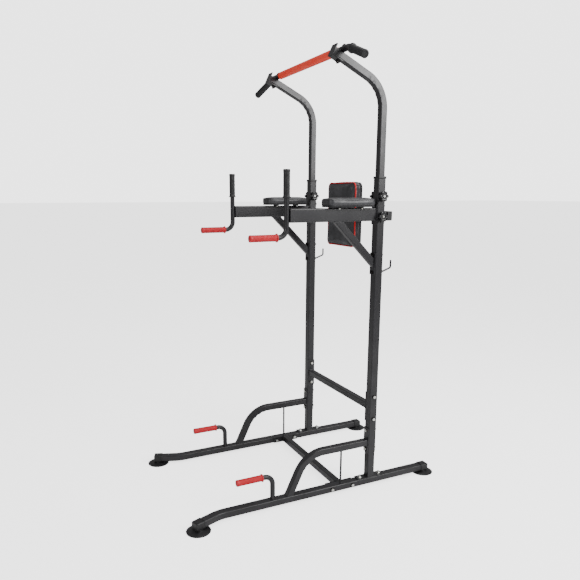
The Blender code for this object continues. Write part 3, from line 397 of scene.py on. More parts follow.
class Finishes:
    """One material of each finish, made once and shared by the pieces."""

    def __init__(self) -> None:
        """Make every material."""
        self.coat = PowderCoat("satin_black_powder_coat", "black_coat", "#1A191C", 0.34).material()
        self.weld = PowderCoat("coated_weld", "black_coat", "#18171A", 0.38, peel_mm=1.0).material()
        self.oxide = BlackOxide("black_oxide_steel", "black_coat", "#17171A", 0.38, metallic=0.7).material()
        self.plastic = MouldedPlastic("moulded_polypropylene", "black_plastic", "#101012", 0.40).material()
        self.knob = MouldedPlastic("moulded_nylon_knob", "knob_plastic", "#111113", 0.30,
                                   light="#1E1E20").material()
        self.cup = GripRubber("suction_cup_rubber", "cup_rubber", "#111113", 0.42,
                              rubbed="#1E1E20").material()
        self.red = GripRubber("red_grip_rubber", "red_grip", "#BE0C1E", 0.48).material()
        self.black = GripRubber("black_grip_rubber", "black_grip", "#121214", 0.50,
                                rubbed="#202022").material()
        self.foam = FoamSleeve("orange_red_foam", "red_foam", "#FF3A20", 0.42).material()
        self.zinc = ZincPlate("bright_zinc_plate", "black_coat", "#C9CDD2", 0.26, metallic=1.0).material()
        self.vinyl = Vinyl("charcoal_vinyl", "pad_vinyl", "#2C2C2E", 0.42).material()
        self.thread = Thread("bonded_thread", "pad_vinyl", "#1E1E20", 0.60).material()
        self.piping = Piping("red_piping", "pad_vinyl", "#DE060C", 0.34).material()
        self.board = DustCover("dust_cover_felt", "pad_vinyl", "#151517", 0.90).material()


# ---------------------------------------------------------------- modelling tools
def stand_on(start: Vector, heading: Vector, side_axis: Vector) -> Matrix:
    """Matrix that takes the XY plane to a plane across a heading.

    Args:
        start: Where the plane's origin goes.
        heading: Where +Z goes.
        side_axis: Roughly where +X goes.

    Returns:
        The placing matrix.
    """
    up = heading.normalized()
    across = (side_axis - side_axis.dot(up) * up).normalized()
    turn = Matrix((across, up.cross(across), up)).transposed()
    return Matrix.Translation(start) @ turn.to_4x4()


def grow(bm: bmesh.types.BMesh, faces: list) -> tuple[list, list]:
    """Extrude faces in place.

    Args:
        bm: The mesh.
        faces: Connected faces to extrude.

    Returns:
        The new vertices and the new faces.
    """
    edges = list(dict.fromkeys(edge for face in faces for edge in face.edges))
    grown = bmesh.ops.extrude_face_region(bm, geom=faces + edges)["geom"]
    verts = [item for item in grown if isinstance(item, bmesh.types.BMVert)]
    return verts, [item for item in grown if isinstance(item, bmesh.types.BMFace)]


@dataclass
class TubeStock:
    """Square, rectangular or round tube as it leaves the mill; round when the corner is half the width."""

    width: float
    height: float
    corner: float
    facets: int = 4
    cuts: int = 0

    @classmethod
    def round(cls, diameter: float, sides: int = 32) -> "TubeStock":
        """Round stock of a diameter."""
        return cls(diameter, diameter, diameter / 2, sides)

    def face(self, bm: bmesh.types.BMesh, start: Vector, heading: Vector, side_axis: Vector) -> list:
        """Draw the outline as one face.

        Args:
            bm: The mesh to draw in.
            start: Centre of the outline.
            heading: Direction square to it.
            side_axis: Direction its width runs in.

        Returns:
            The new face, in a list.
        """
        place = stand_on(start, heading, side_axis)
        if self.corner * 2 >= self.width:
            made = bmesh.ops.create_circle(bm, cap_ends=True, segments=self.facets, radius=self.width / 2,
                                           matrix=place)
            return list({face for vert in made["verts"] for face in vert.link_faces})
        made = bmesh.ops.create_grid(bm, x_segments=1, y_segments=1, size=0.5)
        verts = made["verts"]
        bmesh.ops.scale(bm, vec=(self.width, self.height, 1.0), verts=verts)
        rounded = bmesh.ops.bevel(bm, geom=verts, offset=self.corner, segments=self.facets, profile=0.5,
                                  affect="VERTICES", material=-1)
        face = next(iter({f for vert in rounded["verts"] for f in vert.link_faces}))
        if self.cuts:
            flats = [edge for edge in face.edges if edge.calc_length() > self.corner * 1.2]
            bmesh.ops.subdivide_edges(bm, edges=flats, cuts=self.cuts)
        bmesh.ops.transform(bm, matrix=place, verts=list(face.verts))
        return [face]


@dataclass
class Crush:
    """How far the inner wall of a square tube buckles in a mandrel-less bend."""

    depth: float = 0.0
    waves: int = 5
    dents: tuple[float, ...] = ()

    def press(self, bm: bmesh.types.BMesh, verts: list, centre: Vector, inward: Vector, share: float,
              half: float) -> None:
        """Buckle one ring of the bend.

        Args:
            bm: The mesh.
            verts: The ring's vertices.
            centre: Ring centre.
            inward: Unit vector from the ring's centre to the bend's centre.
            share: How far round the bend the ring is, from 0 to 1.
            half: Half the tube's size.
        """
        if not self.depth:
            return
        swell = math.sin(math.pi * share) * (0.5 - 0.5 * math.cos(math.tau * self.waves * share))
        dent = max([math.exp(-((share - spot) / 0.022) ** 2) for spot in self.dents], default=0.0)
        for vert in verts:
            reach = (vert.co - centre).dot(inward) / half
            flank = (vert.co.x - centre.x) / half
            if dent > 0.02 and abs(flank) > 0.9 and 0.1 < reach < 0.9:
                push = math.copysign(dent * self.depth * 1.6, flank)
                bmesh.ops.translate(bm, verts=[vert], vec=(-push, 0, 0))
            if reach > 0.2:
                press = (reach - 0.2) / 0.8 * swell * self.depth
                sideways = (vert.co.x - centre.x) * press / half * 1.5
                bmesh.ops.translate(bm, verts=[vert], vec=Vector((-sideways, 0, 0)) - inward * press)


def bend_tube(bm: bmesh.types.BMesh, stock: TubeStock, corners: Sequence[Vector], radius: float = 0.0,
              steps: int = 16, side_axis: Vector = X_AXIS, crush: Crush | None = None) -> None:
    """Run a tube through some corners, bent round the inner ones.

    Args:
        bm: The mesh to build in.
        stock: The tube's section.
        corners: Where the centre lines start, cross and end.
        radius: Centre-line bend radius.
        steps: Rings in each bend.
        side_axis: Direction the section's width runs in.
        crush: Buckling of the inner wall, if any.
    """
    corners = [Vector(corner) for corner in corners]
    headings = [(b - a).normalized() for a, b in zip(corners, corners[1:])]
    place = corners[0]
    faces = stock.face(bm, place, headings[0], side_axis)
    rings = []
    for index, heading in enumerate(headings):
        last = index + 1 == len(headings)
        angle = 0.0 if last else heading.angle(headings[index + 1])
        target = corners[index + 1] - heading * radius * math.tan(angle / 2)
        verts, faces = grow(bm, faces)
        bmesh.ops.translate(bm, verts=verts, vec=target - place)
        place = target
        if last:
            continue
        axis = heading.cross(headings[index + 1]).normalized()
        centre = place + axis.cross(heading) * radius
        turn = Matrix.Rotation(angle / steps, 3, axis)
        middle = place.copy()
        for step in range(1, steps + 1):
            verts, faces = grow(bm, faces)
            bmesh.ops.rotate(bm, verts=verts, cent=centre, matrix=turn)
            middle = centre + turn @ (middle - centre)
            rings.append((verts, middle, (centre - middle).normalized(), step / steps))
        place = corners[index + 1] + headings[index + 1] * radius * math.tan(angle / 2)
    if crush:
        for verts, middle, inward, share in rings:
            crush.press(bm, verts, middle, inward, share, stock.height / 2)


def lathe(bm: bmesh.types.BMesh, profile: Sequence[tuple[float, float]], start: Vector, heading: Vector,
          steps: int = 48) -> None:
    """Turn a profile round an axis.

    Args:
        bm: The mesh to build in.
        profile: Radius and distance along the axis of each point.
        start: Origin of the axis.
        heading: Direction of the axis.
        steps: Facets round the axis.
    """
    way = heading.normalized()
    across = way.orthogonal().normalized()
    verts = [bm.verts.new(start + across * radius + way * along) for radius, along in profile]
    edges = [bm.edges.new(pair) for pair in zip(verts, verts[1:])]
    bmesh.ops.spin(bm, geom=verts + edges, cent=start, axis=way, dvec=(0, 0, 0), angle=math.tau,
                   steps=steps, use_merge=True, use_duplicate=False)


def soften(bm: bmesh.types.BMesh, edges: list, size: float, facets: int) -> None:
    """Round some edges off by a size, in so many facets."""
    bmesh.ops.bevel(bm, geom=edges, offset=size, segments=facets, profile=0.5, affect="EDGES", material=-1)


def saw_off(bm: bmesh.types.BMesh, spot: Vector, outward: Vector) -> None:
    """Cut a mesh along a plane, drop what lies beyond it and close the cut.

    Args:
        bm: The mesh.
        spot: A point on the plane.
        outward: Direction square to the plane, towards what falls off.
    """
    everything = list(bm.verts) + list(bm.edges) + list(bm.faces)
    sliced = bmesh.ops.bisect_plane(bm, geom=everything, plane_co=spot, plane_no=outward, clear_outer=True)
    edges = [item for item in sliced["geom_cut"] if isinstance(item, bmesh.types.BMEdge)]
    bmesh.ops.holes_fill(bm, edges=edges)


def plate(bm: bmesh.types.BMesh, low: Vector, high: Vector, bevel: float = 0.0012) -> None:
    """A flat plate or block between two corners, with broken edges.

    Args:
        bm: The mesh to build in.
        low: Lowest corner.
        high: Highest corner.
        bevel: Size of the broken edge.
    """
    made = bmesh.ops.create_cube(bm, size=1.0)["verts"]
    bmesh.ops.scale(bm, vec=Vector(high) - Vector(low), verts=made)
    bmesh.ops.translate(bm, vec=(Vector(high) + Vector(low)) / 2, verts=made)
    edges = list({edge for vert in made for edge in vert.link_edges})
    soften(bm, edges, bevel, 2)


def oval_path(centre: Vector, across: Vector, along: Vector, width: float, height: float, corner: float,
              pitch: float) -> list[Vector]:
    """Evenly spaced points round a rounded rectangle or circle.

    Args:
        centre: Middle of the loop.
        across: Unit vector of its width.
        along: Unit vector of its height.
        width: Overall width.
        height: Overall height.
        corner: Corner radius.
        pitch: Distance between points.

    Returns:
        The loop's points.
    """
    straight = (height - 2 * corner, width - 2 * corner) * 2
    arc = corner * math.pi / 2
    starts = ((1, -1, 0), (1, 1, 1), (-1, 1, 2), (-1, -1, 3))
    total = sum(straight) + 4 * arc
    count = max(8, round(total / pitch))
    points = []
    for i in range(count):
        along_loop = total * i / count
        for (sx, sy, quarter), run in zip(starts, straight):
            if along_loop < run + arc:
                break
            along_loop -= run + arc
        heading = Matrix.Rotation(quarter * math.pi / 2, 2) @ Vector((0.0, 1.0))
        hub = Vector((sx * (width / 2 - corner), sy * (height / 2 - corner)))
        out = Matrix.Rotation(quarter * math.pi / 2, 2) @ Vector((1.0, 0.0))
        spot = hub + out * corner + heading * along_loop
        if along_loop > run:
            turn = (along_loop - run) / corner if corner else 0.0
            end_hub = hub + heading * run
            spot = end_hub + Matrix.Rotation(turn, 2) @ (out * corner)
        points.append(centre + across * spot.x + along * spot.y)
    return points


def bead(bm: bmesh.types.BMesh, points: Sequence[Vector], radius: float, ripple: float = 0.0,
         closed: bool = True, sides: int = 10) -> None:
    """Lay a round bead along some points, as a weld, a cord of piping or a thread.

    Args:
        bm: The mesh to build in.
        points: The bead's centre line.
        radius: Its radius.
        ripple: Share by which every other ring is thicker, for a weld's scales.
        closed: Whether the last point joins the first.
        sides: Facets round the bead.
    """
    count = len(points)
    rings = []
    for i, spot in enumerate(points):
        after = points[(i + 1) % count] if closed or i + 1 < count else spot
        before = points[i - 1] if closed or i else spot
        heading = (after - before).normalized()
        thick = radius * (1 + ripple * (i % 2))
        side_axis = Z_AXIS if abs(heading.z) < 0.9 else X_AXIS
        ring = bmesh.ops.create_circle(bm, segments=sides, radius=thick,
                                       matrix=stand_on(spot, heading, side_axis))
        rings.append(list({edge for vert in ring["verts"] for edge in vert.link_edges}))
    pairs = list(zip(rings, rings[1:]))
    if closed:
        pairs.append((rings[-1], rings[0]))
    for first, second in pairs:
        bmesh.ops.bridge_loops(bm, edges=first + second)
    if not closed:
        bmesh.ops.holes_fill(bm, edges=rings[0] + rings[-1], sides=sides)


def weld_round(bm: bmesh.types.BMesh, centre: Vector, across: Vector, along: Vector, width: float,
               height: float, corner: float, radius: float = 0.0016) -> None:
    """Weld all round a tube where it meets a face; width and height are the tube's own."""
    points = oval_path(centre, across, along, width, height, corner, radius * 1.3)
    bead(bm, points, radius, 0.16, sides=8)


def stamp(bm: bmesh.types.BMesh, template: bpy.types.Mesh, spot: Vector, heading: Vector,
          side_axis: Vector = X_AXIS) -> None:
    """Add a copy of a small part, its origin at a spot and its +Z along a heading.

    Args:
        bm: The mesh to build in.
        template: The small part's mesh.
        spot: Where it goes.
        heading: Where its +Z points.
        side_axis: Roughly where its +X points.
    """
    before = set(bm.verts)
    bm.from_mesh(template)
    fresh = [vert for vert in bm.verts if vert not in before]
    bmesh.ops.transform(bm, matrix=stand_on(spot, heading, side_axis), verts=fresh)


def new_object(name: str, bm: bmesh.types.BMesh) -> bpy.types.Object:
    """Turn a mesh under construction into an object of the scene.

    Args:
        name: The object's name.
        bm: Its mesh, which is used up.

    Returns:
        The new object.
    """
    mesh = bpy.data.meshes.new(name)
    bm.to_mesh(mesh)
    bm.free()
    obj = bpy.data.objects.new(name, mesh)
    bpy.context.scene.collection.objects.link(obj)
    return obj


def settle(obj: bpy.types.Object) -> bpy.types.Mesh:
    """Replace an object's mesh by what its modifiers make of it, and drop them.

    Args:
        obj: The object.

    Returns:
        The mesh it had before.
    """
    bpy.context.view_layer.update()
    made = bpy.data.meshes.new_from_object(obj.evaluated_get(bpy.context.evaluated_depsgraph_get()))
    obj.modifiers.clear()
    before, obj.data = obj.data, made
    return before


@dataclass
class Workshop:
    """Where a modelled mesh becomes a finished piece: closed, smoothed, dressed and tied to its body."""

    finishes: Finishes
    pieces: int = 0

    def fit(self, name: str, bm: bmesh.types.BMesh, material: bpy.types.Material, side: Side | None = None,
            stands_for: str = "", slot: str | None = None, body: str = Body.BASE.value,
            sharp: float = 38.0) -> None:
        """Close, smooth and dress a piece, and tie it to its body.

        Args:
            name: The piece's name, without its side.
            bm: Its mesh, which is used up.
            material: Its finish.
            side: Side of a piece that was modelled on the right-hand side; None leaves it where it is.
            stands_for: The CAD node that it stands for, without its side.
            slot: Name of a material slot, handed on to tie.
            body: The body it moves with.
            sharp: Edges bent more than this many degrees stay sharp.
        """
        ending = f"_{side.label}" if side else ""
        if side is Side.LEFT:
            bmesh.ops.scale(bm, vec=(-1, 1, 1), verts=bm.verts)
        bmesh.ops.remove_doubles(bm, verts=bm.verts, dist=1e-6)
        bmesh.ops.recalc_face_normals(bm, faces=bm.faces)
        obj = new_object(name + ending, bm)
        obj.data.materials.append(material)
        obj.data.shade_smooth()
        obj.data.set_sharp_from_angle(angle=math.radians(sharp))
        self.keep_flats_flat(obj)
        self.tie(obj, body, stands_for + ending if stands_for else "", slot)

    def seam(self, name: str, bm: bmesh.types.BMesh, side: Side) -> None:
        """Finish some welds of the base frame, modelled on the right-hand side."""
        self.fit(name, bm, self.finishes.weld, side, slot="black_coat")

    def tie(self, obj: bpy.types.Object, body: str, node: str = "", slot: str | None = None) -> None:
        """Tie a finished object to its body and hide the CAD node that it stands for.

        Args:
            obj: The object.
            body: The body it moves with.
            node: The CAD node that it stands for, if any.
            slot: Not used.
        """
        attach(obj, body)
        if node:
            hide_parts(node)
        self.pieces += 1
        LOG.info("%s: %d faces on %s", obj.name, len(obj.data.polygons), body)

    def keep_flats_flat(self, obj: bpy.types.Object) -> None:
        """Weight the normals by face area, so that rounded corners don't shade the flats.

        Args:
            obj: The object.
        """
        weighted = obj.modifiers.new("flats", "WEIGHTED_NORMAL")
        weighted.keep_sharp = True
        weighted.weight = 90
        spare = settle(obj)
        obj.data.name = spare.name + "_mesh"
        bpy.data.meshes.remove(spare)


# ---------------------------------------------------------------- where things are
@dataclass
class Layout:
    """Main places of the machine, read from the CAD frame; X is always the right-hand side's."""

    x: float
    y: float
    upright_half: float
    rail_low: float
    rail_top: float
    split_y: float

    @classmethod
    def read(cls) -> "Layout":
        """Read the places from the boxes of the CAD nodes.

        Returns:
            The places.
        """
        foot_low, foot_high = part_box("foot_tube_right")
        rail_low, rail_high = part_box("front_rail_right")
        rear_low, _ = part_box("rear_rail_right")
        plate_low, plate_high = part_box("dip_arm_right")
        return cls(x=(foot_low.x + foot_high.x) / 2, y=(foot_low.y + foot_high.y) / 2,
                   upright_half=(plate_high.x - plate_low.x) / 2, rail_low=rail_low.z,
                   rail_top=rail_high.z, split_y=rear_low.y)

    @property
    def rear_face(self) -> float:
        """Y of the upright's rear face."""
        return self.y + self.upright_half

    @property
    def outer_face(self) -> float:
        """X of the upright's outer face."""
        return self.x + self.upright_half

    @property
    def inner_face(self) -> float:
        """X of the upright's inner face."""
        return self.x - self.upright_half

    @property
    def rail_z(self) -> float:
        """Height of the rail's centre line."""
        return (self.rail_low + self.rail_top) / 2


# ---------------------------------------------------------------- bolts
@dataclass
class Bolts:
    """M8 bolts with their washers and nuts, stamped from small templates."""

    shop: Workshop
    size: float = 0.008
    flats: float = 0.013
    head_height: float = 0.0053
    nut_height: float = 0.0065
    washer_outer: float = 0.0185
    washer_thickness: float = 0.0016
    templates: dict[str, bpy.types.Mesh] = field(default_factory=dict)

    def template(self, name: str, build: Callable[[bmesh.types.BMesh], None]) -> bpy.types.Mesh:
        """Make a template mesh once.

        Args:
            name: What the template is called.
            build: Function that models it round the origin, seat down.

        Returns:
            The template.
        """
        if name not in self.templates:
            bm = bmesh.new()
            build(bm)
            bmesh.ops.recalc_face_normals(bm, faces=bm.faces)
            mesh = bpy.data.meshes.new("template_" + name)
            bm.to_mesh(mesh)
            bm.free()
            self.templates[name] = mesh
        return self.templates[name]

    def hexagon(self, bm: bmesh.types.BMesh, height: float, chamfer: float) -> None:
        """A hexagonal prism with a chamfered top, standing on the origin.

        Args:
            bm: The mesh to build in.
            height: Height of the prism.
            chamfer: Size of its broken upper edge.
        """
        radius = self.flats / math.sqrt(3)
        bmesh.ops.create_circle(bm, cap_ends=True, segments=6, radius=radius)
        verts, faces = grow(bm, list(bm.faces))
        bmesh.ops.translate(bm, verts=verts, vec=(0, 0, height))
        corners = list(faces[0].edges)
        bmesh.ops.bevel(bm, geom=corners, offset=chamfer, segments=2, profile=0.6, affect="EDGES",
                        material=-1)

    def head(self, bm: bmesh.types.BMesh) -> None:
        """Bolt head with a dished top.

        Args:
            bm: The mesh to build in.
        """
        self.hexagon(bm, self.head_height, 0.0010)
        top = max(bm.faces, key=lambda face: face.calc_center_median().z)
        bmesh.ops.inset_region(bm, faces=[top], thickness=0.0016)
        bmesh.ops.translate(bm, verts=list(top.verts), vec=(0, 0, -0.0005))

    def nut(self, bm: bmesh.types.BMesh) -> None:
        """Nut with the bolt's tip standing out of it.

        Args:
            bm: The mesh to build in.
        """
        self.hexagon(bm, self.nut_height, 0.0009)
        tip = self.nut_height + 0.0035
        bmesh.ops.create_cone(bm, cap_ends=True, segments=20, radius1=self.size / 2,
                              radius2=self.size / 2 - 0.001, depth=0.006,
                              matrix=Matrix.Translation((0, 0, tip - 0.003)))

    def washer(self, bm: bmesh.types.BMesh) -> None:
        """Round washer.

        Args:
            bm: The mesh to build in.
        """
        outer, inner, high = self.washer_outer / 2, self.size / 2, self.washer_thickness
        edge = 0.0003
        ring = [(inner, 0.0), (outer, 0.0), (outer, high - edge), (outer - edge, high), (inner, high),
                (inner, 0.0)]
        lathe(bm, ring, Vector(), Z_AXIS, 32)

    def set_in(self, name: str, spots: Sequence[tuple[Vector, Vector, str]], side: Side,
               body: str = Body.BASE.value, black: bool = False, black_washers: bool = True) -> None:
        """Put bolt heads or nuts with their washers at some spots.

        Args:
            name: What the group is called.
            spots: Seat, outward direction and kind (head or nut) of each.
            side: Which side they are on.
            body: The body they move with.
            black: Whether the bolts are black instead of zinc.
            black_washers: Whether the washers are black.
        """
        kinds = {"head": self.head, "nut": self.nut}
        steel = bmesh.new()
        rings = bmesh.new()
        ring = self.template("washer", self.washer)
        for seat, way, kind in spots:
            stamp(rings, ring, seat, way, Y_AXIS if abs(way.x) > 0.5 else X_AXIS)
            stamp(steel, self.template(kind, kinds[kind]), seat + way * self.washer_thickness, way,
                  Y_AXIS if abs(way.x) > 0.5 else X_AXIS)
        finishes = self.shop.finishes
        self.shop.fit(f"{name}_bolts", steel, finishes.oxide if black else finishes.zinc, side,
                      slot="black_coat", body=body, sharp=28.0)
        self.shop.fit(f"{name}_washers", rings, finishes.oxide if black_washers else finishes.zinc, side,
                      slot="black_coat", body=body)


# ---------------------------------------------------------------- base
@dataclass
class Rails:
    """Floor rails with their shoes and suction cups."""

    shop: Workshop
    layout: Layout
    width: float = 0.038
    corner: float = 0.0045
    turn_radius: float = 0.160
    splay_reach: float = 0.100
    shoe_length: float = 0.040
    shoe_socket: float = 0.030
    shoe_wall: float = 0.002

    def build(self, side: Side) -> None:
        """Build one side's rails.

        Args:
            side: Which side it is on.
        """
        front_cup_low, front_cup_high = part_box("front_cup_right")
        rear_cup_low, rear_cup_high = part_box("rear_cup_right")
        front_cup = (front_cup_low + front_cup_high) / 2
        rear_cup = (rear_cup_low + rear_cup_high) / 2
        z = self.layout.rail_z
        turn = Vector((self.layout.x, front_cup.y + self.splay_reach, z))
        front = Vector((front_cup.x, front_cup.y, z))
        rear = Vector((rear_cup.x, rear_cup.y, z))
        outward = (front - turn).normalized()
        stock = TubeStock(self.width, self.layout.rail_top - self.layout.rail_low, self.corner, 4)
        inside = self.shoe_length / 2 - self.shoe_socket
        self.rail("front_rail", (Vector((self.layout.x, self.layout.split_y - 0.0006, z)), turn,
                                 front - outward * inside), stock, side)
        self.rail("rear_rail", (Vector((self.layout.x, self.layout.split_y + 0.0006, z)),
                                rear - Y_AXIS * inside), stock, side)
        for end, spot, way in (("front", front, outward), ("rear", rear, Y_AXIS)):
            self.shoe(end, spot, way, side)
            self.cup(end, spot, side)

    def rail(self, node: str, corners: Sequence[Vector], stock: TubeStock, side: Side) -> None:
        """Build one length of rail.

        Args:
            node: The CAD node that it stands for, without its side.
            corners: Where its centre lines start, cross and end.
            stock: Its section.
            side: Which side it is on.
        """
        bm = bmesh.new()
        bend_tube(bm, stock, corners, self.turn_radius, 12)
        self.shop.fit(f"{node}_tube", bm, self.shop.finishes.coat, side, node)

    def shoe(self, end: str, spot: Vector, way: Vector, side: Side) -> None:
        """Plastic shoe: a rounded box with a lip where it grips the rail and a neck for the cup.

        Args:
            end: Which end of the rail: front or rear.
            spot: Where it goes.
            way: Direction from the rail towards its tip.
            side: Which side it is on.
        """
        height = self.layout.rail_top - self.layout.rail_low
        start = spot - way * self.shoe_length / 2
        across = way.cross(Z_AXIS)
        bm = bmesh.new()
        stock = TubeStock(self.width + 2 * self.shoe_wall, height + 2 * self.shoe_wall,
                          self.corner + 0.0015, 4)
        tip = start + way * self.shoe_length
        bend_tube(bm, stock, (start, tip), side_axis=across)
        bm.faces.ensure_lookup_table()
        end_face = max(bm.faces, key=lambda face: face.calc_center_median().dot(way) + face.calc_area())
        soften(bm, list(end_face.edges), 0.0035, 4)
        neck_low = self.layout.rail_low - self.shoe_wall - 0.0005
        lathe(bm, [(0, 0.004), (0.017, 0.004), (0.019, 0.0), (0.0, 0.0)],
              Vector((spot.x, spot.y, neck_low)), Z_AXIS, 32)
        self.shop.fit(f"{end}_shoe_moulding", bm, self.shop.finishes.plastic, side, f"{end}_shoe")
        lip = bmesh.new()
        points = oval_path(start + way * 0.0016, across, Z_AXIS, self.width + 2 * self.shoe_wall,
                           height + 2 * self.shoe_wall, self.corner + 0.0015, 0.003)
        bead(lip, points, 0.0011, sides=8)
        self.shop.fit(f"{end}_shoe_lip", lip, self.shop.finishes.plastic, side)

    def cup(self, end: str, spot: Vector, side: Side) -> None:
        """Suction cup: a flared bell with a rolled rim and a hollow underside.

        Args:
            end: Which end of the rail: front or rear.
            spot: Where it goes.
            side: Which side it is on.
        """
        low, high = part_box(f"{end}_cup_right")
        rim = (high.x - low.x) / 2
        top = high.z
        profile = [(0.0, top), (rim * 0.36, top), (rim * 0.40, top * 0.93), (rim * 0.46, top * 0.80),
                   (rim * 0.60, top * 0.66), (rim * 0.76, top * 0.52), (rim * 0.90, top * 0.34),
                   (rim * 0.975, top * 0.22), (rim, 0.0013), (rim * 0.992, 0.0002), (rim * 0.955, 0.0),
                   (rim * 0.90, 0.0012), (rim * 0.75, top * 0.30), (rim * 0.45, top * 0.46),
                   (0.0, top * 0.50)]
        bm = bmesh.new()
        lathe(bm, profile, Vector((spot.x, spot.y, 0.0)), Z_AXIS, 64)
        self.shop.fit(f"{end}_suction_cup", bm, self.shop.finishes.cup, side, f"{end}_cup")


@dataclass
class Crossbar:
    """Square tube across the machine with a bolted plate on each end."""

    shop: Workshop
    bolts: Bolts
    node: str
    size: float = 0.030
    corner: float = 0.0035
    plate: float = 0.004
    bolt_spacing: float = 0.107

    def build(self, through: Vector, outside_x: float) -> None:
        """Build the bar, its plates, welds and bolts.

        Args:
            through: Unit vector along which the plate's two bolts are spaced.
            outside_x: X of the face where the bolts come out.
        """
        low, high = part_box(self.node)
        centre = (low + high) / 2
        finishes = self.shop.finishes
        bm = bmesh.new()
        end = high.x - self.plate / 2
        stock = TubeStock(self.size, self.size, self.corner, 4)
        bend_tube(bm, stock, (Vector((-end, centre.y, centre.z)), Vector((end, centre.y, centre.z))),
                  side_axis=Y_AXIS)
        for sign in (-1, 1):
            inner = Vector((sign * (high.x - self.plate), low.y, low.z))
            outer = Vector((sign * high.x, high.y, high.z))
            corners = [Vector([pick(pair) for pair in zip(inner, outer)]) for pick in (min, max)]
            plate(bm, *corners)
        self.shop.fit(self.node + "_tube", bm, finishes.coat, stands_for=self.node)
        for side in Side:
            seam = bmesh.new()
            spot = Vector((high.x - self.plate - WELD_LIFT, centre.y, centre.z))
            weld_round(seam, spot, Y_AXIS, Z_AXIS, self.size, self.size, self.corner)
            self.shop.seam(f"{self.node}_weld", seam, side)
            spots = []
            for sign in (-1, 1):
                offset = through * sign * self.bolt_spacing / 2
                spots.append((Vector((outside_x, centre.y, centre.z)) + offset, X_AXIS, "head"))
                spots.append((Vector((high.x - self.plate, centre.y, centre.z)) + offset, -X_AXIS, "nut"))
            self.bolts.set_in(self.node, spots, side)


@dataclass
class FloorBrace:
    """Bent brace from the rail to the upright, with its bolting plate and tie rod."""

    shop: Workshop
    layout: Layout
    bolts: Bolts
    size: float = 0.030
    corner: float = 0.0035
    level: float = 0.218
    corner_reach: float = 0.337
    bend: float = 64.5
    radius: float = 0.138
    plate: float = 0.004
    plate_length: float = 0.120
    plate_bolts: float = 0.090
    tie_reach: float = 0.1555
    tie_diameter: float = 0.009

    def build(self, side: Side) -> None:
        """Build one side's brace.

        Args:
            side: Which side it is on.
        """
        low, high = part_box("floor_brace_right")
        lean = math.radians(90 - self.bend)
        x, y = self.layout.x, self.layout.y
        knee = Vector((x, y - self.corner_reach, self.level))
        down = Vector((0, -math.sin(lean), -math.cos(lean)))
        foot = knee + down * (self.level - low.z + 0.012) / math.cos(lean)
        face = high.y
        bm = bmesh.new()
        stock = TubeStock(self.size, self.size, self.corner, 4, cuts=3)
        bend_tube(bm, stock, (foot, knee, Vector((x, face - self.plate / 2, self.level))), self.radius, 28,
                  crush=Crush(0.0016, 5))
        saw_off(bm, Vector((x, y, low.z)), -Z_AXIS)
        plate_low = high.z - self.plate_length
        plate(bm, Vector((x - self.layout.upright_half, face - self.plate, plate_low)),
              Vector((x + self.layout.upright_half, face, high.z)), 0.0015)
        finishes = self.shop.finishes
        self.shop.fit("floor_brace_tube", bm, finishes.coat, side, "floor_brace")
        self.rod(low.z, side)
        self.welds(low.z, face, lean, side)
        middle = (plate_low + high.z) / 2
        spots = []
        for sign in (-1, 1):
            z = middle + sign * self.plate_bolts / 2
            spots.append((Vector((x, face - self.plate, z)), -Y_AXIS, "head"))
            spots.append((Vector((x, self.layout.rear_face, z)), Y_AXIS, "nut"))
        self.bolts.set_in("floor_brace", spots, side)

    def rod(self, bottom: float, side: Side) -> None:
        """Round tie rod under the brace's level run.

        Args:
            bottom: Z of its lower end.
            side: Which side it is on.
        """
        bm = bmesh.new()
        y = self.layout.y - self.tie_reach
        top = self.level - self.size / 2
        half = self.tie_diameter / 2
        lathe(bm, [(0, 0), (half, 0), (half, top - bottom + 0.001), (0, top - bottom + 0.001)],
              Vector((self.layout.x, y, bottom)), Z_AXIS, 24)
        for z in (bottom, top):
            flare = half + 0.0014
            sign = 1 if z == bottom else -1
            lathe(bm, [(half * 0.9, 0.0), (flare, 0.0), (half * 1.1, 0.0016 * sign),
                       (half * 0.9, 0.0020 * sign), (half * 0.9, 0.0)],
                  Vector((self.layout.x, y, z)), Z_AXIS, 24)
        self.shop.fit("tie_rod", bm, self.shop.finishes.coat, side, slot="black_coat")

    def welds(self, bottom: float, face: float, lean: float, side: Side) -> None:
        """Welds at the rail and at the plate.

        Args:
            bottom: Z of its lower end.
            face: Y of the plate's rear face.
            lean: The leg's lean, in radians.
            side: Which side it is on.
        """
        bm = bmesh.new()
        foot_y = self.layout.y - self.corner_reach - math.tan(lean) * (self.level - bottom)
        weld_round(bm, Vector((self.layout.x, foot_y, bottom + WELD_LIFT)), X_AXIS, Y_AXIS, self.size,
                   self.size / math.cos(lean), self.corner)
        weld_round(bm, Vector((self.layout.x, face - self.plate - WELD_LIFT, self.level)), X_AXIS, Z_AXIS,
                   self.size, self.size, self.corner)
        self.shop.seam("floor_brace_weld", bm, side)


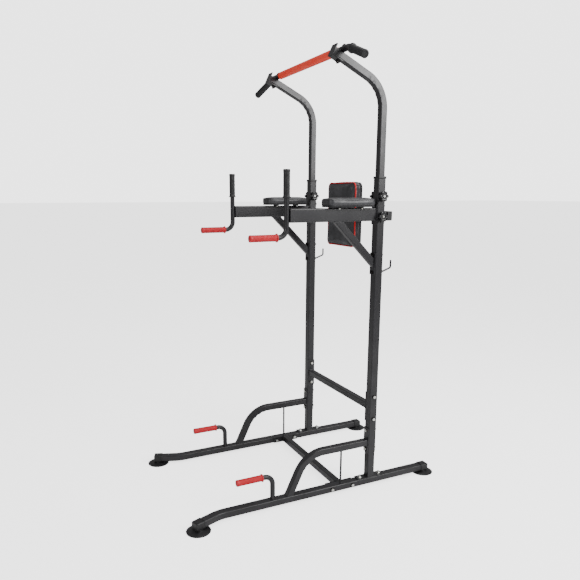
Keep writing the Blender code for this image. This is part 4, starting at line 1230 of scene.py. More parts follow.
@dataclass
class Grip:
    """Ribbed rubber grip pushed over the end of a round handle."""

    shop: Workshop
    ribs: int = 26
    rib_depth: float = 0.0007
    collar: float = 0.0055
    flange: float = 0.0035
    facets: int = 64

    def build(self, name: str, start: Vector, way: Vector, length: float, diameter: float,
              material: bpy.types.Material, side: Side, node: str, body: str = Body.BASE.value) -> None:
        """Build a grip.

        Args:
            name: The piece's name, without its side.
            start: Centre of the grip's inner end.
            way: Direction towards its tip.
            length: Overall length.
            diameter: Outside diameter.
            material: Its rubber.
            side: Which side it is on.
            node: The CAD node that it stands for, without its side.
            body: The body it moves with.
        """
        radius = diameter / 2
        flange = radius + self.flange
        start_ribs = self.collar + 0.006
        end_ribs = length - 0.010
        pitch = (end_ribs - start_ribs) / self.ribs
        profile = [(0.0, 0.0), (flange - 0.0008, 0.0), (flange, 0.0008), (flange, 0.0034),
                   (flange - 0.0008, 0.0042), (radius + 0.0006, 0.0050), (radius, 0.0062)]
        for i in range(self.ribs):
            at = start_ribs + i * pitch
            profile += [(radius, at), (radius - self.rib_depth, at + pitch * 0.18),
                        (radius - self.rib_depth, at + pitch * 0.42), (radius, at + pitch * 0.60)]
        dish = radius * 0.62
        profile += [(radius, end_ribs + 0.001), (radius + 0.0004, end_ribs + 0.0025),
                    (radius + 0.0004, length - 0.0028), (radius - 0.0010, length - 0.0006),
                    (radius - 0.0026, length), (dish, length), (dish - 0.0006, length - 0.0010),
                    (dish * 0.45, length - 0.0012), (0.0, length - 0.0012)]
        bm = bmesh.new()
        lathe(bm, profile, start, way, self.facets)
        self.flute(bm, start, way, radius, start_ribs, end_ribs)
        self.shop.fit(name, bm, material, side, node, body=body, sharp=50.0)

    def flute(self, bm: bmesh.types.BMesh, start: Vector, way: Vector, radius: float, low: float,
              high: float) -> None:
        """Press shallow grooves along the ribbed length, which break the ribs into pads.

        Args:
            bm: The mesh to build in.
            start: Centre of the grip's inner end.
            way: Direction it points in.
            radius: The grip's radius.
            low: Where the ribs start.
            high: Where the ribs end.
        """
        ref = way.orthogonal().normalized()
        other = way.cross(ref)
        for vert in bm.verts:
            along = (vert.co - start).dot(way)
            out = vert.co - start - way * along
            if not low < along < high or out.length < radius * 0.9:
                continue
            angle = math.atan2(out.dot(other), out.dot(ref))
            if round(angle / math.tau * self.facets) % 4 == 0:
                vert.co -= out.normalized() * self.rib_depth * 0.8


@dataclass
class PushUpHandle:
    """Bent round handle on the rail with a red grip."""

    shop: Workshop
    layout: Layout
    tube: float = 0.022
    bend: float = 0.038
    level: float = 0.152

    def build(self, side: Side) -> None:
        """Build one side's handle, weld and grip.

        Args:
            side: Which side it is on.
        """
        low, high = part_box("push_up_handle_right")
        grip_low, grip_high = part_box("push_up_grip_right")
        x = self.layout.x
        stem_y = high.y - self.tube / 2
        corner = Vector((x, stem_y, self.level))
        bm = bmesh.new()
        bend_tube(bm, TubeStock.round(self.tube), (Vector((x, stem_y, low.z)), corner,
                                                   Vector((x, grip_low.y + 0.01, self.level))), self.bend, 16)
        finishes = self.shop.finishes
        self.shop.fit("push_up_tube", bm, finishes.coat, side, "push_up_handle")
        seam = bmesh.new()
        weld_round(seam, Vector((x, stem_y, low.z + WELD_LIFT)), X_AXIS, Y_AXIS, self.tube, self.tube,
                   self.tube / 2)
        self.shop.seam("push_up_weld", seam, side)
        length = grip_high.y - grip_low.y
        Grip(self.shop).build("push_up_rubber", Vector((x, grip_high.y, self.level)), -Y_AXIS, length,
                              self.tube + 0.006, finishes.red, side, "push_up_grip")


# ---------------------------------------------------------------- uprights
@dataclass
class Upright:
    """Outer upright on its foot tube, with collar, threaded bosses and band hook."""

    shop: Workshop
    layout: Layout
    bolts: Bolts
    wall: float = 0.0015
    corner: float = 0.0042
    boss: float = 0.018
    boss_length: float = 0.004
    flange_bolts: float = 0.104
    flange_thickness: float = 0.004
    boss_bore: float = 0.0088
    collar_lip: float = 0.0016
    hook_rod: float = 0.008

    def build(self, side: Side) -> None:
        """Build one side's upright and what is fixed to it.

        Args:
            side: Which side it is on.
        """
        self.foot(side)
        self.tube(side)
        self.collar(side)
        self.hook(side)

    def foot(self, side: Side) -> None:
        """Foot tube welded on its flange, and the flange's bolts.

        Args:
            side: Which side it is on.
        """
        low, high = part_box("foot_tube_right")
        x, y = self.layout.x, self.layout.y
        size = 2 * (self.layout.upright_half - self.wall) - 0.0006
        bm = bmesh.new()
        bend_tube(bm, TubeStock(size, size, self.corner - self.wall, 4),
                  (Vector((x, y, low.z)), Vector((x, y, high.z))))
        top = low.z + self.flange_thickness
        plate(bm, Vector((low.x, low.y, low.z)), Vector((high.x, high.y, top)), 0.0012)
        finishes = self.shop.finishes
        self.shop.fit("foot", bm, finishes.coat, side, "foot_tube")
        seam = bmesh.new()
        weld_round(seam, Vector((x, y, top + WELD_LIFT)), X_AXIS, Y_AXIS, size, size,
                   self.corner - self.wall, 0.0018)
        self.shop.seam("foot_weld", seam, side)
        spots = [(Vector((x, y + sign * self.flange_bolts / 2, top)), Z_AXIS, "nut") for sign in (-1, 1)]
        spots += [(Vector((x, y + sign * self.flange_bolts / 2, self.layout.rail_low)), -Z_AXIS, "head")
                  for sign in (-1, 1)]
        self.bolts.set_in("foot_flange", spots, side, black_washers=False)

    def tube(self, side: Side) -> None:
        """The upright itself, a hollow tube with a sawn lower end, and its three bosses.

        Args:
            side: Which side it is on.
        """
        low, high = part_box("upright_right")
        x, y = self.layout.x, self.layout.y
        size = 2 * self.layout.upright_half
        bm = bmesh.new()
        bend_tube(bm, TubeStock(size, size, self.corner, 5), (Vector((x, y, low.z)), Vector((x, y, high.z))))
        bm.normal_update()
        for face in [face for face in bm.faces if abs(face.normal.z) > 0.9]:
            way = -face.normal.z
            bmesh.ops.inset_region(bm, faces=[face], thickness=self.wall)
            grown, _ = grow(bm, [face])
            bmesh.ops.translate(bm, verts=grown, vec=(0, 0, way * 0.012))
        finishes = self.shop.finishes
        self.shop.fit("upright_tube", bm, finishes.coat, side, "upright")
        studs = bmesh.new()
        for node, way in (("upper_clamp_knob_right", X_AXIS), ("lower_clamp_knob_right", X_AXIS),
                          ("height_pin_right", -X_AXIS)):
            knob_low, knob_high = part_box(node)
            z = (knob_low.z + knob_high.z) / 2
            face_x = self.layout.outer_face if way.x > 0 else self.layout.inner_face
            self.boss_nut(studs, Vector((face_x, y, z)), way)
        self.shop.fit("bosses", studs, finishes.coat, side, slot="black_coat")

    def boss_nut(self, bm: bmesh.types.BMesh, spot: Vector, way: Vector) -> None:
        """A round boss with a weld round its foot.

        Args:
            bm: The mesh to build in.
            spot: Where it goes.
            way: Direction it points in.
        """
        half = self.boss / 2
        bore = self.boss_bore / 2
        lathe(bm, [(bore, -0.001), (half, -0.001), (half, self.boss_length - 0.0008),
                   (half - 0.0008, self.boss_length), (bore, self.boss_length), (bore, -0.001)],
              spot, way, 32)
        seam = bmesh.new()
        weld_round(seam, spot + way * WELD_LIFT, Y_AXIS, Z_AXIS, self.boss, self.boss, half, 0.0013)
        made = bpy.data.meshes.new("boss_seam")
        seam.to_mesh(made)
        seam.free()
        bm.from_mesh(made)
        bpy.data.meshes.remove(made)

    def collar(self, side: Side) -> None:
        """Plastic collar: a square ring with a rounded lip, and the sleeve inside the upright.

        Args:
            side: Which side it is on.
        """
        low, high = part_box("post_collar_right")
        _, upright_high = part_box("upright_right")
        post_low, post_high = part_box("bent_post_right")
        x, y = self.layout.x, self.layout.y
        size = high.x - low.x
        bore = post_high.x - post_low.x + 0.0006
        bottom = upright_high.z + 0.0003
        bm = bmesh.new()
        bend_tube(bm, TubeStock(size, size, self.corner + 0.001, 5),
                  (Vector((x, y, bottom)), Vector((x, y, high.z))))
        for sign in (1, -1):
            bm.normal_update()
            face = next(f for f in bm.faces if f.normal.z * sign > 0.9 and len(f.verts) > 4)
            soften(bm, list(face.edges), self.collar_lip, 3)
        bm.normal_update()
        top = max((f for f in bm.faces if f.normal.z > 0.9), key=lambda f: f.calc_area())
        inset = (size - bore) / 2 - self.collar_lip
        bmesh.ops.inset_region(bm, faces=[top], thickness=inset)
        sunk, _ = grow(bm, [top])
        bmesh.ops.translate(bm, verts=sunk, vec=(0, 0, -(high.z - low.z) * 0.5))
        self.shop.fit("collar_ring", bm, self.shop.finishes.plastic, side, "post_collar")

    def hook(self, side: Side) -> None:
        """Round-bar band hook: a stem welded down the upright, a rising arm and an upturned tip.

        Args:
            side: Which side it is on.
        """
        low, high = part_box("band_hook_right")
        half = self.hook_rod / 2
        x = self.layout.x
        stem_y, tip_y = low.y + half, high.y - half
        stem_top = low.z + (high.z - low.z) * 0.40
        arm_top = low.z + (high.z - low.z) * 0.60
        corners = (Vector((x, stem_y, low.z)), Vector((x, stem_y, stem_top)), Vector((x, tip_y, arm_top)),
                   Vector((x, tip_y, high.z - half * 0.5)))
        bm = bmesh.new()
        bend_tube(bm, TubeStock.round(self.hook_rod, 20), corners, 0.010, 8)
        for z, sign in ((high.z, 1), (low.z, -1)):
            cap = max(bm.faces, key=lambda f: f.calc_center_median().z * sign if len(f.verts) > 8 else -9)
            soften(bm, list(cap.edges), half * 0.6, 4)
        finishes = self.shop.finishes
        self.shop.fit("hook_bar", bm, finishes.coat, side, "band_hook")
        seam = bmesh.new()
        for sign in (-1, 1):
            points = [Vector((x + sign * half * 0.75, self.layout.rear_face + 0.0004,
                              low.z + 0.002 + i * 0.0022)) for i in range(14)]
            bead(seam, points, 0.0016, 0.18, closed=False, sides=8)
        self.shop.seam("hook_weld", seam, side)


# ---------------------------------------------------------------- dip station
@dataclass
class DipArm:
    """Dip arm with its diagonal brace, round handle and two grips."""

    shop: Workshop
    layout: Layout
    bolts: Bolts
    width: float = 0.030
    height: float = 0.055
    corner: float = 0.0045
    plate: float = 0.004
    handle: float = 0.022
    handle_bend: float = 0.038
    handle_level: float = 1.172
    brace_width: float = 0.025
    brace_depth: float = 0.030
    brace_angle: float = 45.0
    brace_corner: float = 0.0035
    brace_plate: float = 0.095

    def build(self, side: Side) -> None:
        """Build one side's arm, brace and handle.

        Args:
            side: Which side it is on.
        """
        low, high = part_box("dip_arm_right")
        centre_z = (low.z + high.z) / 2
        x = self.layout.x
        face = high.y
        bm = bmesh.new()
        bend_tube(bm, TubeStock(self.width, self.height, self.corner, 5),
                  (Vector((x, low.y, centre_z)), Vector((x, face - self.plate / 2, centre_z))))
        plate(bm, Vector((low.x, face - self.plate, low.z)), Vector((high.x, face, high.z)), 0.0014)
        finishes = self.shop.finishes
        self.shop.fit("arm_tube", bm, finishes.coat, side, "dip_arm")
        seam = bmesh.new()
        weld_round(seam, Vector((x, face - self.plate - WELD_LIFT, centre_z)), X_AXIS, Z_AXIS, self.width,
                   self.height, self.corner)
        self.shop.seam("arm_weld", seam, side)
        spots = []
        for z in (low.z + 0.0075, high.z - 0.0075):
            spots.append((Vector((x, self.layout.rear_face, z)), Y_AXIS, "nut"))
        self.bolts.set_in("arm_plate", spots, side, black=True)
        self.brace(centre_z - self.height / 2, side)
        self.handle_and_grips(low.y, centre_z, side)

    def brace(self, underside: float, side: Side) -> None:
        """Diagonal brace, mitred against the arm and welded to its own plate.

        Args:
            underside: Z of the arm's underside.
            side: Which side it is on.
        """
        low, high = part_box("arm_brace_right")
        angle = math.radians(self.brace_angle)
        x = self.layout.x
        face = high.y
        plate_centre = low.z + self.brace_plate / 2
        foot = Vector((x, self.layout.y, plate_centre - self.layout.upright_half * math.tan(angle)))
        rise = underside + 0.03 - foot.z
        top = foot + Vector((0, -rise / math.tan(angle), rise))
        bm = bmesh.new()
        bend_tube(bm, TubeStock(self.brace_width, self.brace_depth, self.brace_corner, 4), (foot, top))
        for spot, way in ((Vector((x, 0, high.z)), Z_AXIS), (Vector((x, face - self.plate / 2, 0)), Y_AXIS)):
            saw_off(bm, spot, way)
        plate(bm, Vector((low.x, face - self.plate, low.z)),
              Vector((high.x, face, low.z + self.brace_plate)), 0.0014)
        finishes = self.shop.finishes
        self.shop.fit("arm_brace_tube", bm, finishes.coat, side, "arm_brace")
        seam = bmesh.new()
        long_way = self.brace_depth / math.sin(angle)
        top_y = self.layout.y - (high.z - foot.z) / math.tan(angle)
        weld_round(seam, Vector((x, top_y, high.z - WELD_LIFT)), X_AXIS, Y_AXIS, self.brace_width, long_way,
                   self.brace_corner)
        plate_z = foot.z + (self.layout.y - (face - self.plate)) * math.tan(angle)
        weld_round(seam, Vector((x, face - self.plate - WELD_LIFT, plate_z)), X_AXIS, Z_AXIS,
                   self.brace_width, self.brace_depth / math.cos(angle), self.brace_corner)
        self.shop.seam("arm_brace_weld", seam, side)
        spots = []
        for z in (low.z + 0.010, low.z + 0.085):
            spots.append((Vector((x, face - self.plate, z)), -Y_AXIS, "head"))
            spots.append((Vector((x, self.layout.rear_face, z)), Y_AXIS, "nut"))
        self.bolts.set_in("arm_brace", spots, side, black=True)

    def handle_and_grips(self, arm_end: float, centre_z: float, side: Side) -> None:
        """Round handle on the arm's end with its black top grip and red front grip.

        Args:
            arm_end: Y of the arm's front end.
            centre_z: Z of the arm's centre line.
            side: Which side it is on.
        """
        _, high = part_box("dip_handle_right")
        top_low, top_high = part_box("dip_top_grip_right")
        front_low, front_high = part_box("dip_front_grip_right")
        x = self.layout.x
        y = high.y - self.handle / 2
        bm = bmesh.new()
        bend_tube(bm, TubeStock.round(self.handle), (
            Vector((x, y, top_high.z - 0.01)), Vector((x, y, self.handle_level)),
            Vector((x, front_low.y + 0.01, self.handle_level))), self.handle_bend, 16)
        finishes = self.shop.finishes
        self.shop.fit("handle_tube", bm, finishes.coat, side, "dip_handle")
        seam = bmesh.new()
        for sign in (-1, 1):
            points = [Vector((x + sign * self.width * 0.36, arm_end + 0.0008,
                              centre_z - self.height / 2 + 0.004 + i * 0.0024)) for i in range(20)]
            bead(seam, points, 0.0022, 0.16, closed=False, sides=8)
        self.shop.seam("handle_weld", seam, side)
        grip = Grip(self.shop)
        outside = self.handle + 0.006
        grip.build("top_grip_rubber", Vector((x, y, top_low.z)), Z_AXIS, top_high.z - top_low.z, outside,
                   finishes.black, side, "dip_top_grip")
        grip.build("front_grip_rubber", Vector((x, front_high.y, self.handle_level)), -Y_AXIS,
                   front_high.y - front_low.y, outside, finishes.red, side, "dip_front_grip")


# ---------------------------------------------------------------- pads
@dataclass
class Pad:
    """Foam pad under vinyl: a stuffed, crowned block with seams, on a felt-covered board."""

    shop: Workshop
    voxel: float = 0.005
    pressure: float = 4.0
    seam_pitch: float = 0.0022
    frames: int = 20
    cap: float = 0.006
    seam_pull: float = 0.0012
    ease: float = 0.0014

    def stuffed(self, name: str, low: Vector, high: Vector, corner: float, board: Callable[[Vector], bool],
                plan: Vector) -> bpy.types.Object:
        """Model the cover and let the stuffing swell it.

        Args:
            name: The piece's name.
            low: Lowest corner of the room the pad may fill.
            high: Highest corner.
            corner: Radius of its four plan corners.
            board: Tells whether a point is glued to the board, so it stays put.
            plan: Unit vector square to the pad's large faces.

        Returns:
            The swollen cover as a plain mesh object, not yet dressed.
        """
        bm = bmesh.new()
        thickness = abs((high - low).dot(plan))
        made = bmesh.ops.create_cube(bm, size=1.0)["verts"]
        bmesh.ops.scale(bm, vec=high - low, verts=made)
        bmesh.ops.translate(bm, vec=(high + low) / 2, verts=made)
        posts = [edge for edge in bm.edges
                 if abs((edge.verts[0].co - edge.verts[1].co).normalized().dot(plan)) > 0.9]
        soften(bm, posts, corner, 8)
        rims = [edge for edge in bm.edges
                if abs(edge.verts[0].co.dot(plan) - edge.verts[1].co.dot(plan)) < 1e-6]
        soften(bm, rims, thickness * 0.10, 3)
        obj = new_object(name, bm)
        self.remesh(obj)
        self.swell(obj, board)
        return obj

    def remesh(self, obj: bpy.types.Object) -> None:
        """Even out the cover's mesh for the cloth solver.

        Args:
            obj: The object.
        """
        voxels = obj.modifiers.new("voxels", "REMESH")
        voxels.mode = "VOXEL"
        voxels.voxel_size = self.voxel
        settle(obj)

    def swell(self, obj: bpy.types.Object, board: Callable[[Vector], bool]) -> None:
        """Blow the cover up by a little pressure, with its board side pinned and its swelling capped.

        Args:
            obj: The object.
            board: Tells whether a point is glued to the board.
        """
        start = [vert.co.copy() for vert in obj.data.vertices]
        pins = obj.vertex_groups.new(name="board")
        pins.add([i for i, spot in enumerate(start) if board(spot)], 1.0, "REPLACE")
        cloth = obj.modifiers.new("stuffing", "CLOTH")
        cloth.settings.vertex_group_mass = "board"
        cloth.settings.use_pressure = True
        cloth.settings.uniform_pressure_force = self.pressure
        cloth.settings.effector_weights.gravity = 0.0
        cloth.settings.tension_stiffness = 25.0
        cloth.settings.compression_stiffness = 25.0
        cloth.settings.bending_stiffness = 2.0
        scene = bpy.context.scene
        for frame in range(1, self.frames + 1):
            scene.frame_set(frame)
        settle(obj)
        for vert, home in zip(obj.data.vertices, start):
            move = vert.co - home
            if move.length > self.cap:
                vert.co = home + move.normalized() * self.cap
        obj.vertex_groups.clear()
        scene.frame_set(1)

    def pull_seam(self, obj: bpy.types.Object, points: Sequence[Vector], reach: float,
                  puckers: float) -> None:
        """Draw the cover in along a seam, with small puckers.

        Args:
            obj: The cover.
            points: The seam's line.
            reach: How far from the line the cover is drawn in.
            puckers: Distance from one pucker to the next.
        """
        seam = len(points)
        spacing = (points[1] - points[0]).length
        centre = sum((vert.co for vert in obj.data.vertices), Vector()) / len(obj.data.vertices)
        for vert in obj.data.vertices:
            nearest = min(range(seam), key=lambda i: (points[i] - vert.co).length_squared)
            away = (points[nearest] - vert.co).length
            if away >= reach:
                continue
            fade = 0.5 + 0.5 * math.cos(math.pi * away / reach)
            phase = math.tau * nearest * spacing / puckers + 2 * noise.noise(vert.co * 40)
            wave = 0.75 + 0.45 * math.sin(phase)
            vert.co -= (vert.co - centre).normalized() * self.seam_pull * fade * wave

    def finish(self, obj: bpy.types.Object, node: str) -> None:
        """Args:
            obj: The cover.
            node: The CAD node that it stands for.
        """
        rounded = obj.modifiers.new("round", "SUBSURF")
        rounded.levels = 1
        rounded.render_levels = 1
        settle(obj)
        obj.data.materials.clear()
        obj.data.materials.append(self.shop.finishes.vinyl)
        obj.data.shade_smooth()
        self.shop.tie(obj, Body.BASE.value, node)

    def on_cover(self, obj: bpy.types.Object, points: Sequence[Vector], lift: float) -> list[Vector]:
        """Lay a line's points on the cover, a little above it.

        Args:
            obj: The object.
            points: The line's points.
            lift: How far above the cover they go.

        Returns:
            The lifted points.
        """
        laid = []
        for point in points:
            found, spot, normal, _ = obj.closest_point_on_mesh(point)
            laid.append(spot + normal * lift if found else point)
        return laid

    def stitches(self, bm: bmesh.types.BMesh, points: Sequence[Vector], radius: float = 0.0005) -> None:
        """Short stitches along a line, each three points long with a gap of one."""
        for i in range(0, len(points) - 3, 4):
            bead(bm, points[i:i + 3], radius, closed=False, sides=6)


@dataclass
class ArmPad(Pad):
    """Forearm pad: crowned top, boxed sides, a welt seam near the top edge and one near the bottom."""

    layout: Layout | None = None
    corner: float = 0.022
    top_seam: float = 0.80
    low_seam: float = 0.16
    board: float = 0.006
    bolt_spacing: float = 0.110
    bolts_back: float = 0.004
    strap: float = 0.016
    cap: float = 0.0038
    seam_pull: float = 0.0020

    def build(self, side: Side) -> None:
        """Build one side's pad, its seams, board, straps and screws.

        Args:
            side: Which side it is on.
        """
        low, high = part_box(f"arm_pad_{side.label}")
        arm_low, arm_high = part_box("dip_arm_right")
        arm_top = (arm_low.z + arm_high.z) / 2 + DipArm.height / 2
        base = arm_top + 0.004
        margin = Vector((self.ease, self.ease, 0.0))
        obj = self.stuffed(f"arm_pad_cover_{side.label}", Vector((low.x, low.y, base + self.board)) + margin,
                           Vector((high.x, high.y, high.z - 0.003)) - margin, self.corner,
                           lambda spot: spot.z < base + self.board + 0.004, Z_AXIS)
        centre = (low + high) / 2
        seams = []
        for share in (self.top_seam, self.low_seam):
            z = base + (high.z - base) * share
            ring = oval_path(Vector((centre.x, centre.y, z)), X_AXIS, Y_AXIS, high.x - low.x, high.y - low.y,
                             self.corner + 0.002, self.seam_pitch)
            self.pull_seam(obj, ring, 0.007, 0.016)
            seams.append(ring)
        self.finish(obj, f"arm_pad_{side.label}")
        self.welts(obj, seams, side)
        self.backing(low, high, base, side)

    def welts(self, obj: bpy.types.Object, seams: Sequence[Sequence[Vector]], side: Side) -> None:
        """Self-piping in the seams and a row of stitches beside each.

        Args:
            obj: The object.
            seams: The seams' lines.
            side: Which side it is on.
        """
        cord = bmesh.new()
        thread = bmesh.new()
        for ring, drop in zip(seams, (-0.0035, 0.0035)):
            bead(cord, self.on_cover(obj, ring, 0.0001), 0.0011, sides=8)
            beside = [spot + Vector((0, 0, drop)) for spot in ring]
            self.stitches(thread, self.on_cover(obj, beside, 0.0002))
        finishes = self.shop.finishes
        self.shop.fit(f"arm_pad_welt_{side.label}", cord, finishes.vinyl, slot="pad_vinyl")
        self.shop.fit(f"arm_pad_stitch_{side.label}", thread, finishes.thread, slot="pad_vinyl")

    def backing(self, low: Vector, high: Vector, base: float, side: Side) -> None:
        """Make the felt-covered board and the two straps that hold it to the arm, with two screws each.

        Args:
            low: Lowest corner of the pad.
            high: Highest corner of the pad.
            base: Z of the board's underside.
            side: Which side it is on.
        """
        finishes = self.shop.finishes
        inset = 0.004
        bm = bmesh.new()
        edge = TubeStock(high.x - low.x - 2 * inset, high.y - low.y - 2 * inset, self.corner - inset, 8)
        centre = (low + high) / 2
        bend_tube(bm, edge, (Vector((centre.x, centre.y, base)),
                             Vector((centre.x, centre.y, base + self.board + 0.004))))
        self.shop.fit(f"arm_pad_board_{side.label}", bm, finishes.board, slot="pad_vinyl")
        straps = bmesh.new()
        screws = bmesh.new()
        x, half, tab = self.layout.x, self.strap / 2, 0.0008
        arm_side = DipArm.width / 2 + tab
        for sign in (-1, 1):
            y = (low.y + high.y) / 2 + self.bolts_back + sign * self.bolt_spacing / 2
            plate(straps, Vector((x - arm_side, y - half, base - 0.0038)),
                  Vector((x + arm_side, y + half, base)), 0.0004)
            for way in (-X_AXIS, X_AXIS):
                face = x + way.x * arm_side
                edges = sorted((face, face - way.x * tab))
                plate(straps, Vector((edges[0], y - half, base - 0.016)),
                      Vector((edges[1], y + half, base)), 0.0003)
                lathe(screws, [(0, 0), (0.0046, 0), (0.0043, 0.0014), (0.0030, 0.0026), (0, 0.0030)],
                      Vector((face, y, base - 0.0045)), way, 24)
        self.shop.fit("arm_pad_straps", straps, finishes.coat, side, slot="black_coat")
        self.shop.fit("arm_pad_screws", screws, finishes.zinc, side, slot="black_coat")


@dataclass
class Backrest(Pad):
    """Backrest pad with red piping, on the tube behind the uprights."""

    layout: Layout | None = None
    bolts: Bolts | None = None
    corner: float = 0.030
    board: float = 0.007
    piping: float = 0.0030
    stitch_inset: float = 0.009
    tube_corner: float = 0.0045
    cap: float = 0.006

    def build(self) -> None:
        """Build the pad, piping, board and tube."""
        low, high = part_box("backrest_pad")
        margin = Vector((self.ease, 0.0, self.ease))
        front = low + margin + Vector((0, self.ease, 0))
        back = high - margin - Vector((0, self.board, 0))
        obj = self.stuffed("backrest_cover", front, back, self.corner,
                           lambda spot: spot.y > back.y - 0.004, Y_AXIS)
        centre = (low + high) / 2
        width, height = high.x - low.x, high.z - low.z
        rings = []
        shrink = 0.005
        for y in (low.y + 0.0075, high.y - self.board - 0.006):
            ring = oval_path(Vector((centre.x, y, centre.z)), X_AXIS, Z_AXIS, width - shrink, height - shrink,
                             self.corner, self.seam_pitch)
            self.pull_seam(obj, ring, 0.009, 0.019)
            rings.append(ring)
        self.finish(obj, "backrest_pad")
        finishes = self.shop.finishes
        cord = bmesh.new()
        bead(cord, self.on_cover(obj, rings[0], self.piping * 0.95), self.piping, sides=12)
        self.shop.fit("backrest_piping", cord, finishes.piping, slot="pad_vinyl")
        thread = bmesh.new()
        inside = oval_path(Vector((centre.x, low.y, centre.z)), X_AXIS, Z_AXIS, width - 2 * self.stitch_inset,
                           height - 2 * self.stitch_inset,
                           self.corner - 0.008, self.seam_pitch)
        self.stitches(thread, self.on_cover(obj, inside, 0.0002))
        self.shop.fit("backrest_stitch", thread, finishes.thread, slot="pad_vinyl")
        welt = bmesh.new()
        bead(welt, self.on_cover(obj, rings[1], 0.0002), 0.0013, sides=8)
        self.shop.fit("backrest_welt", welt, finishes.vinyl, slot="pad_vinyl")
        self.backing(low, high)
        self.tube()

    def backing(self, low: Vector, high: Vector) -> None:
        """Make the felt-covered board behind the foam.

        Args:
            low: Lowest corner of the pad.
            high: Highest corner of the pad.
        """
        inset = 0.003
        centre = (low + high) / 2
        bm = bmesh.new()
        edge = TubeStock(high.x - low.x - 2 * inset, high.z - low.z - 2 * inset, self.corner - inset, 8)
        bend_tube(bm, edge, (Vector((centre.x, high.y - self.board - 0.003, centre.z)),
                             Vector((centre.x, high.y - 0.0002, centre.z))))
        self.shop.fit("backrest_board", bm, self.shop.finishes.board, slot="pad_vinyl")

    def tube(self) -> None:
        """Tube behind the uprights with its lugs, end plugs and the pad's bolts."""
        low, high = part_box("backrest_tube")
        cap_low, cap_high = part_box("backrest_tube_cap_right")
        _, pad_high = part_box("backrest_pad")
        depth = cap_high.y - cap_low.y
        middle = Vector((0, high.y - depth / 2, (low.z + high.z) / 2))
        finishes = self.shop.finishes
        bm = bmesh.new()
        stock = TubeStock(depth, high.z - low.z, self.tube_corner, 5)
        bend_tube(bm, stock, (Vector((low.x, middle.y, middle.z)), Vector((high.x, middle.y, middle.z))),
                  side_axis=Y_AXIS)
        for sign in (-1, 1):
            x = sign * self.layout.x
            half = self.layout.upright_half - 0.006
            plate(bm, Vector((x - half, low.y, low.z + 0.004)), Vector((x + half, middle.y, high.z - 0.004)))
        self.shop.fit("backrest_tube_bar", bm, finishes.coat, stands_for="backrest_tube")
        for side in Side:
            plug = bmesh.new()
            bend_tube(plug, TubeStock(depth, high.z - low.z, self.tube_corner, 5),
                      (Vector((high.x + 0.0003, middle.y, middle.z)),
                       Vector((cap_high.x, middle.y, middle.z))), side_axis=Y_AXIS)
            plug.faces.ensure_lookup_table()
            outer = max(plug.faces, key=lambda f: f.calc_center_median().x)
            soften(plug, list(outer.edges), 0.0022, 4)
            self.shop.fit("tube_plug", plug, finishes.plastic, side, "backrest_tube_cap")
            spots = [(Vector((pad_high.x * 0.55, high.y, middle.z)), Y_AXIS, "head"),
                     (Vector((self.layout.x, high.y, middle.z)), Y_AXIS, "head")]
            self.bolts.set_in("backrest_tube", spots, side, black_washers=False)


# ---------------------------------------------------------------- telescoping frame
def skin(bm: bmesh.types.BMesh, rings: Sequence[Sequence[Vector]]) -> None:
    """Cover a row of rings of equally many points and close both ends.

    Args:
        bm: The mesh to build in.
        rings: The rings, each a closed loop of points in the same order.
    """
    rows = [[bm.verts.new(point) for point in ring] for ring in rings]
    for first, second in zip(rows, rows[1:]):
        for i, vert in enumerate(first):
            bm.faces.new((first[i - 1], vert, second[i], second[i - 1]))
    bm.faces.new(reversed(rows[0]))
    bm.faces.new(rows[-1])


